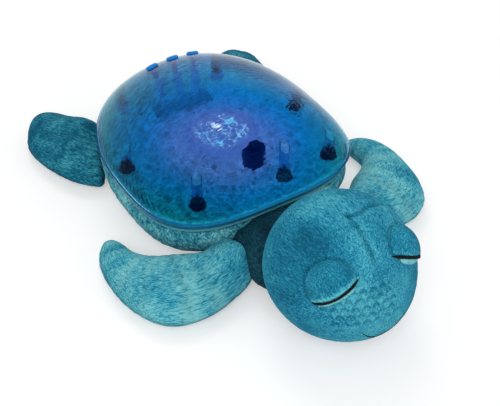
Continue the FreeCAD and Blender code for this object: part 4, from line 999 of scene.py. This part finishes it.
def camera():
    target = Vector((-16.0, -70.0, 40.0)) * mm
    back, distance = facing(-32, 41), 0.85
    eye = bpy.data.cameras.new("camera")
    eye.lens, eye.sensor_width = 76.5, 36.0
    eye.clip_start = 0.05
    scene.camera = aimed("camera", eye, target + back * distance, -back)


scene.view_settings.view_transform = "Standard"
studio()
camera()

# The finishes of this turtle
head_plush = brushed_plush("head_plush", "#0d5470", "#2184a4", "#58b8c8")
flipper_plush = brushed_plush("flipper_plush", "#136280", "#3096ae", "#7cc6ca", lift=0.03)
rear_plush = brushed_plush("rear_flipper_plush", "#053e5c", "#0f647e", "#449aaa")
# Painted shade: the neck's plush is drawn in much darker colours for the shade under the shell's lip and the head
shaded_neck_plush = brushed_plush("shaded_neck_plush", "#021c26", "#08303e", "#215563")
side_plush = brushed_plush("side_plush", "#1a5c70", "#388ea2", "#80c4c6", streak=(1.3, 2.2))
lid_plush = brushed_plush("lid_plush", "#0e5a78", "#2488a6", "#62c0cc", streak=(0.8, 3.0))
pale_plush = brushed_plush("pale_lid_plush", "#3a93a6", "#5fb8c4", "#8fd2d6", streak=(0.8, 3.0))
thread_black = embroidery_thread()
nylon_tape = woven_tape()

# Plush pieces: the cover, how fine it is cut and its slack
head = cut_cloth("plush_head", "head_cover", 3.2, 2.0)
neck = cut_cloth("plush_neck", "neck_cover", 4.0, 1.6)
torso = cut_cloth("plush_torso", "torso_cover", 3.5, 0.9)
limbs = [(node, cut_cloth(node, node + "_cover", 3.0, 1.6), side) for node, side in (
    ("front_flipper_right", -1), ("front_flipper_left", 1),
    ("rear_flipper_right", -1), ("rear_flipper_left", 1))]
lids = []
for way, side in right_and_left:
    for upper, voxel, slack in ((True, 1.4, 0.5), (False, 0.9, 0.25)):
        node = ("upper" if upper else "lower") + "_eyelid_" + way
        lids.append((node, cut_cloth(node, node + "_cover", voxel, slack), side, upper))
# Where the filling has pushed a flipper's edge: place, reach and move
stuffing_pulls = {
    "front_flipper_right": (((-116, -124, 10), 24, (-2.4, -3.8, 0)), ((-80, -130, 10), 22, (-1.5, -4.0, 0)),
                            ((-50, -116, 12), 14, (1.5, -5.0, 1)), ((-50, -102, 28), 15, (6, -2, 6)),
                            ((-130, -66, 10), 20, (0.6, 2.2, 0.5))),
    "front_flipper_left": (((130, -30, 10), 26, (3.7, 5.9, 0)), ((137, -60, 10), 26, (3.7, 5.9, 0)),
                           ((103, -50, 12), 12, (3.0, -1.5, 0))),
    "rear_flipper_right": (((-110, 120, 10), 45, (-0.2, 0.2, 0.3)),),
    "rear_flipper_left": (((117, 116, 10), 22, (-7.8, 4.6, 0)),),
}
flap = cut_cloth("belly_flap", "belly_flap_cover", 1.5, 0.5)
binding = cut_cloth("rim_binding", "rim_binding_cover", 1.4, 0.3)


def head_seams(places):
    return np.minimum(near_line(places, crown_seam[:30]), near_line(places, side_seam)) < 2.4 * mm


# Each cover's cap in millimetres, and where its seams hold it
covers = [(head, 2.2, head_seams), (neck, 1.7, None), (torso, 1.1, None), (flap, 0.5, None),
          (binding, 0.3, None)]
covers += [(piece, 1.8, None) for node, piece, side in limbs]
covers += [(piece, 0.55 if upper else 0.3, None) for node, piece, side, upper in lids]
stuff(covers)

for piece, cap, held in covers:
    refine(piece, 2 if piece is head else 1)
head_form(head)
pull(neck, (((-38, -118, 14), 17, (-6, -6, 0)),))
head_surface(head, head_plush)
torso_surface(torso, side_plush)
plain_surface(neck, shaded_neck_plush, (0, -1, 0.1), 0.4, 11)
plain_surface(flap, side_plush, (0, 1, 0), 0.15, 61)
plain_surface(binding, side_plush, (0, 0, 1), 0.12, 62)
for piece, node, fill in ((head, "plush_head", 0.9), (neck, "plush_neck", 0.7),
                          (torso, "plush_torso", 0.7), (flap, "belly_flap", 0.3),
                          (binding, "rim_binding", 0.4)):
    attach(piece, "belly_flap" if node == "belly_flap" else "torso_unit")
    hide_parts(node)

for node, piece, side, upper in lids:
    bend_lid(piece, side, upper)
    eyelid_surface(piece, lid_plush if upper else pale_plush, side, upper)
    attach(piece, "torso_unit")
    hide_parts(node)

for node, piece, side in limbs:
    pull(piece, stuffing_pulls[node])
    if node.startswith("front"):
        front_flipper_surface(piece, flipper_plush, side)
        start, end = (side * 0.034, -0.07, 0.013), (side * 0.072, -0.07, 0.013)
    else:
        rear_flipper_surface(piece, rear_plush, side)
        start = Vector((-side * rear_seam.x, rear_seam.y, rear_seam.z))
        end = start + Vector((-side * rear_outward.x, rear_outward.y, 0)) * 0.026
    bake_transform(piece)
    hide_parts(node)

# Embroidery
for way, side in right_and_left:
    lash = satin_stitches("lash_stitches_" + way, lash_path(side, 0.42 * mm), lash_width, 0.33 * mm)
    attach(lash, "torso_unit")
    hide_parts("lash_line_" + way)
mouth = satin_stitches("mouth_stitches", mouth_path(head), 1.0 * mm, 0.35 * mm)
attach(mouth, "torso_unit")
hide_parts("mouth_stitch")

# Tapes of the belly flap
for piece, node, body in ((hooked_strip(), "hook_tape", "belly_flap"),
                          (looped_strip(), "loop_tape", "torso_unit")):
    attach(piece, body)
    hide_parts(node)

# Leads inside the unit, from plug to end
lead_routes = {
    "motor_lead": ((-36, -20, 22.3), (-29.5, -20, 22.3), (-25.5, -32, 23), (-23, -40.3, 22.5),
                   (-15.8, -40.3, 22.5)),
    "speaker_lead": ((-36, -12, 22.3), (-26, -12, 22.3), (-11, -9, 18), (6, -7, 15), (20, -9, 14), (28, -12, 13.8),
                     (32.6, -12, 13.8)),
    "lamp_lead": ((-36, -4, 22.3), (-27, -4, 22.3), (-16, -3, 26), (-8, -0.5, 33), (-6, 0, 40), (-6, 0, 47)),
    "battery_lead": ((-36, 4, 22.3), (-30, 4, 22.3), (-26, 11, 23.3), (-26, 19, 23.3)),
    "button_lead": ((-58, 24, 22.3), (-58, 35, 22.3), (-55, 50, 27), (-46, 63, 33), (-38, 72, 39), (-38, 74, 48),
                    (-37.5, 73.3, 57), (-30.8, 73.8, 66.7), (-24.8, 73.8, 67.7)),
}
lead_sleeve = moulded_plastic("lead_sleeve", "#8c2f2b", roughness=0.45, level=0.4)
for node, spots in lead_routes.items():
    wire = lead_wire(node, spots)
    wire.data.materials.append(lead_sleeve)
    wire.data.shade_smooth()
    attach(wire, "torso_unit")
    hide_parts(node)

# Hard pieces keep their CAD shape: each finish and the nodes that have it
hard_finishes = (
    (tinted_shell(), "shell_dome"),
    (lit_deck(), "deck_plate"),
    (lit_lens(), "wave_lens"),
    (moulded_plastic("housing_abs", "#11566c", roughness=0.45), "base_tray battery_cover"),
    (moulded_plastic("inner_dark_abs", "#141c38", roughness=0.5, level=0.3),
     "motor_bracket speaker_clamp"),
    (moulded_plastic("pinion_cover_abs", "#10206a", roughness=0.5, level=0.3), "pinion_cover"),
    (glowing_plastic("switches_in_lamp_light", "#103a60", "#2a98c0", 0.8), "tact_switches"),
    (glowing_plastic("button_boards_in_lamp_light", "#123f58", "#2a98c0", 0.9),
     "button_boards"),
    # Painted lamp light: the collars glow by emission above their foot, though they are no lamp
    (glowing_plastic("collars_in_lamp_light", "#10204a", "#2a98c0", 0.8, foot=60, way="Y"),
     "boss_collars"),
    (glowing_plastic("hooks_in_lamp_light", "#2a2550", "#c0a0cc", 0.9), "lamp_cup lens_hooks"),
    (glowing_plastic("gear_in_lamp_light", "#4a4080", "#c4a0cc", 0.85), "lens_ring_gear"),
    (glowing_plastic("bracket_in_lamp_light", "#103a60", "#2a98c0", 0.9, foot=45.5),
     "button_bracket"),
    (moulded_plastic("gear_acetal", "#dfe0dc", roughness=0.35, grain=0.8),
     "reduction_gear motor_pinion"),
    # Painted lamp light: the buttons glow faintly by emission, though they are no lamp
    (glowing_plastic("buttons_in_lamp_light", "#0a6dc0", "#1a80b0", 0.25),
     "button_left button_middle button_right"),
    (moulded_plastic("part_epoxy", "#1a1b1d", roughness=0.55), "board_parts"),
    (circuit_board(), "lamp_board main_board"),
    (metal("bright_steel", "#c9cbcd", 0.3), "cover_screw deck_screws motor_can"),
    (metal("zinc_steel", "#8d9094", 0.4),
     "unit_screws board_screws speaker_frame speaker_magnet"),
    (metal("nickel_strip", "#c6c2b8", 0.28), "contact_plates contact_springs"),
    (clear_plastic("beam_acrylic", "#dfe8ff"), "beam_lens"),
    (clear_plastic("led_epoxy", "#f4f7ff"), "lamp_leds"),
    (paper_cone(), "speaker_cone"),
    (battery_sleeve(), "battery_cells"),
)
for made, names in hard_finishes:
    for node in names.split():
        materials = nodes[node].data.materials
        materials.clear()
        materials.append(made)
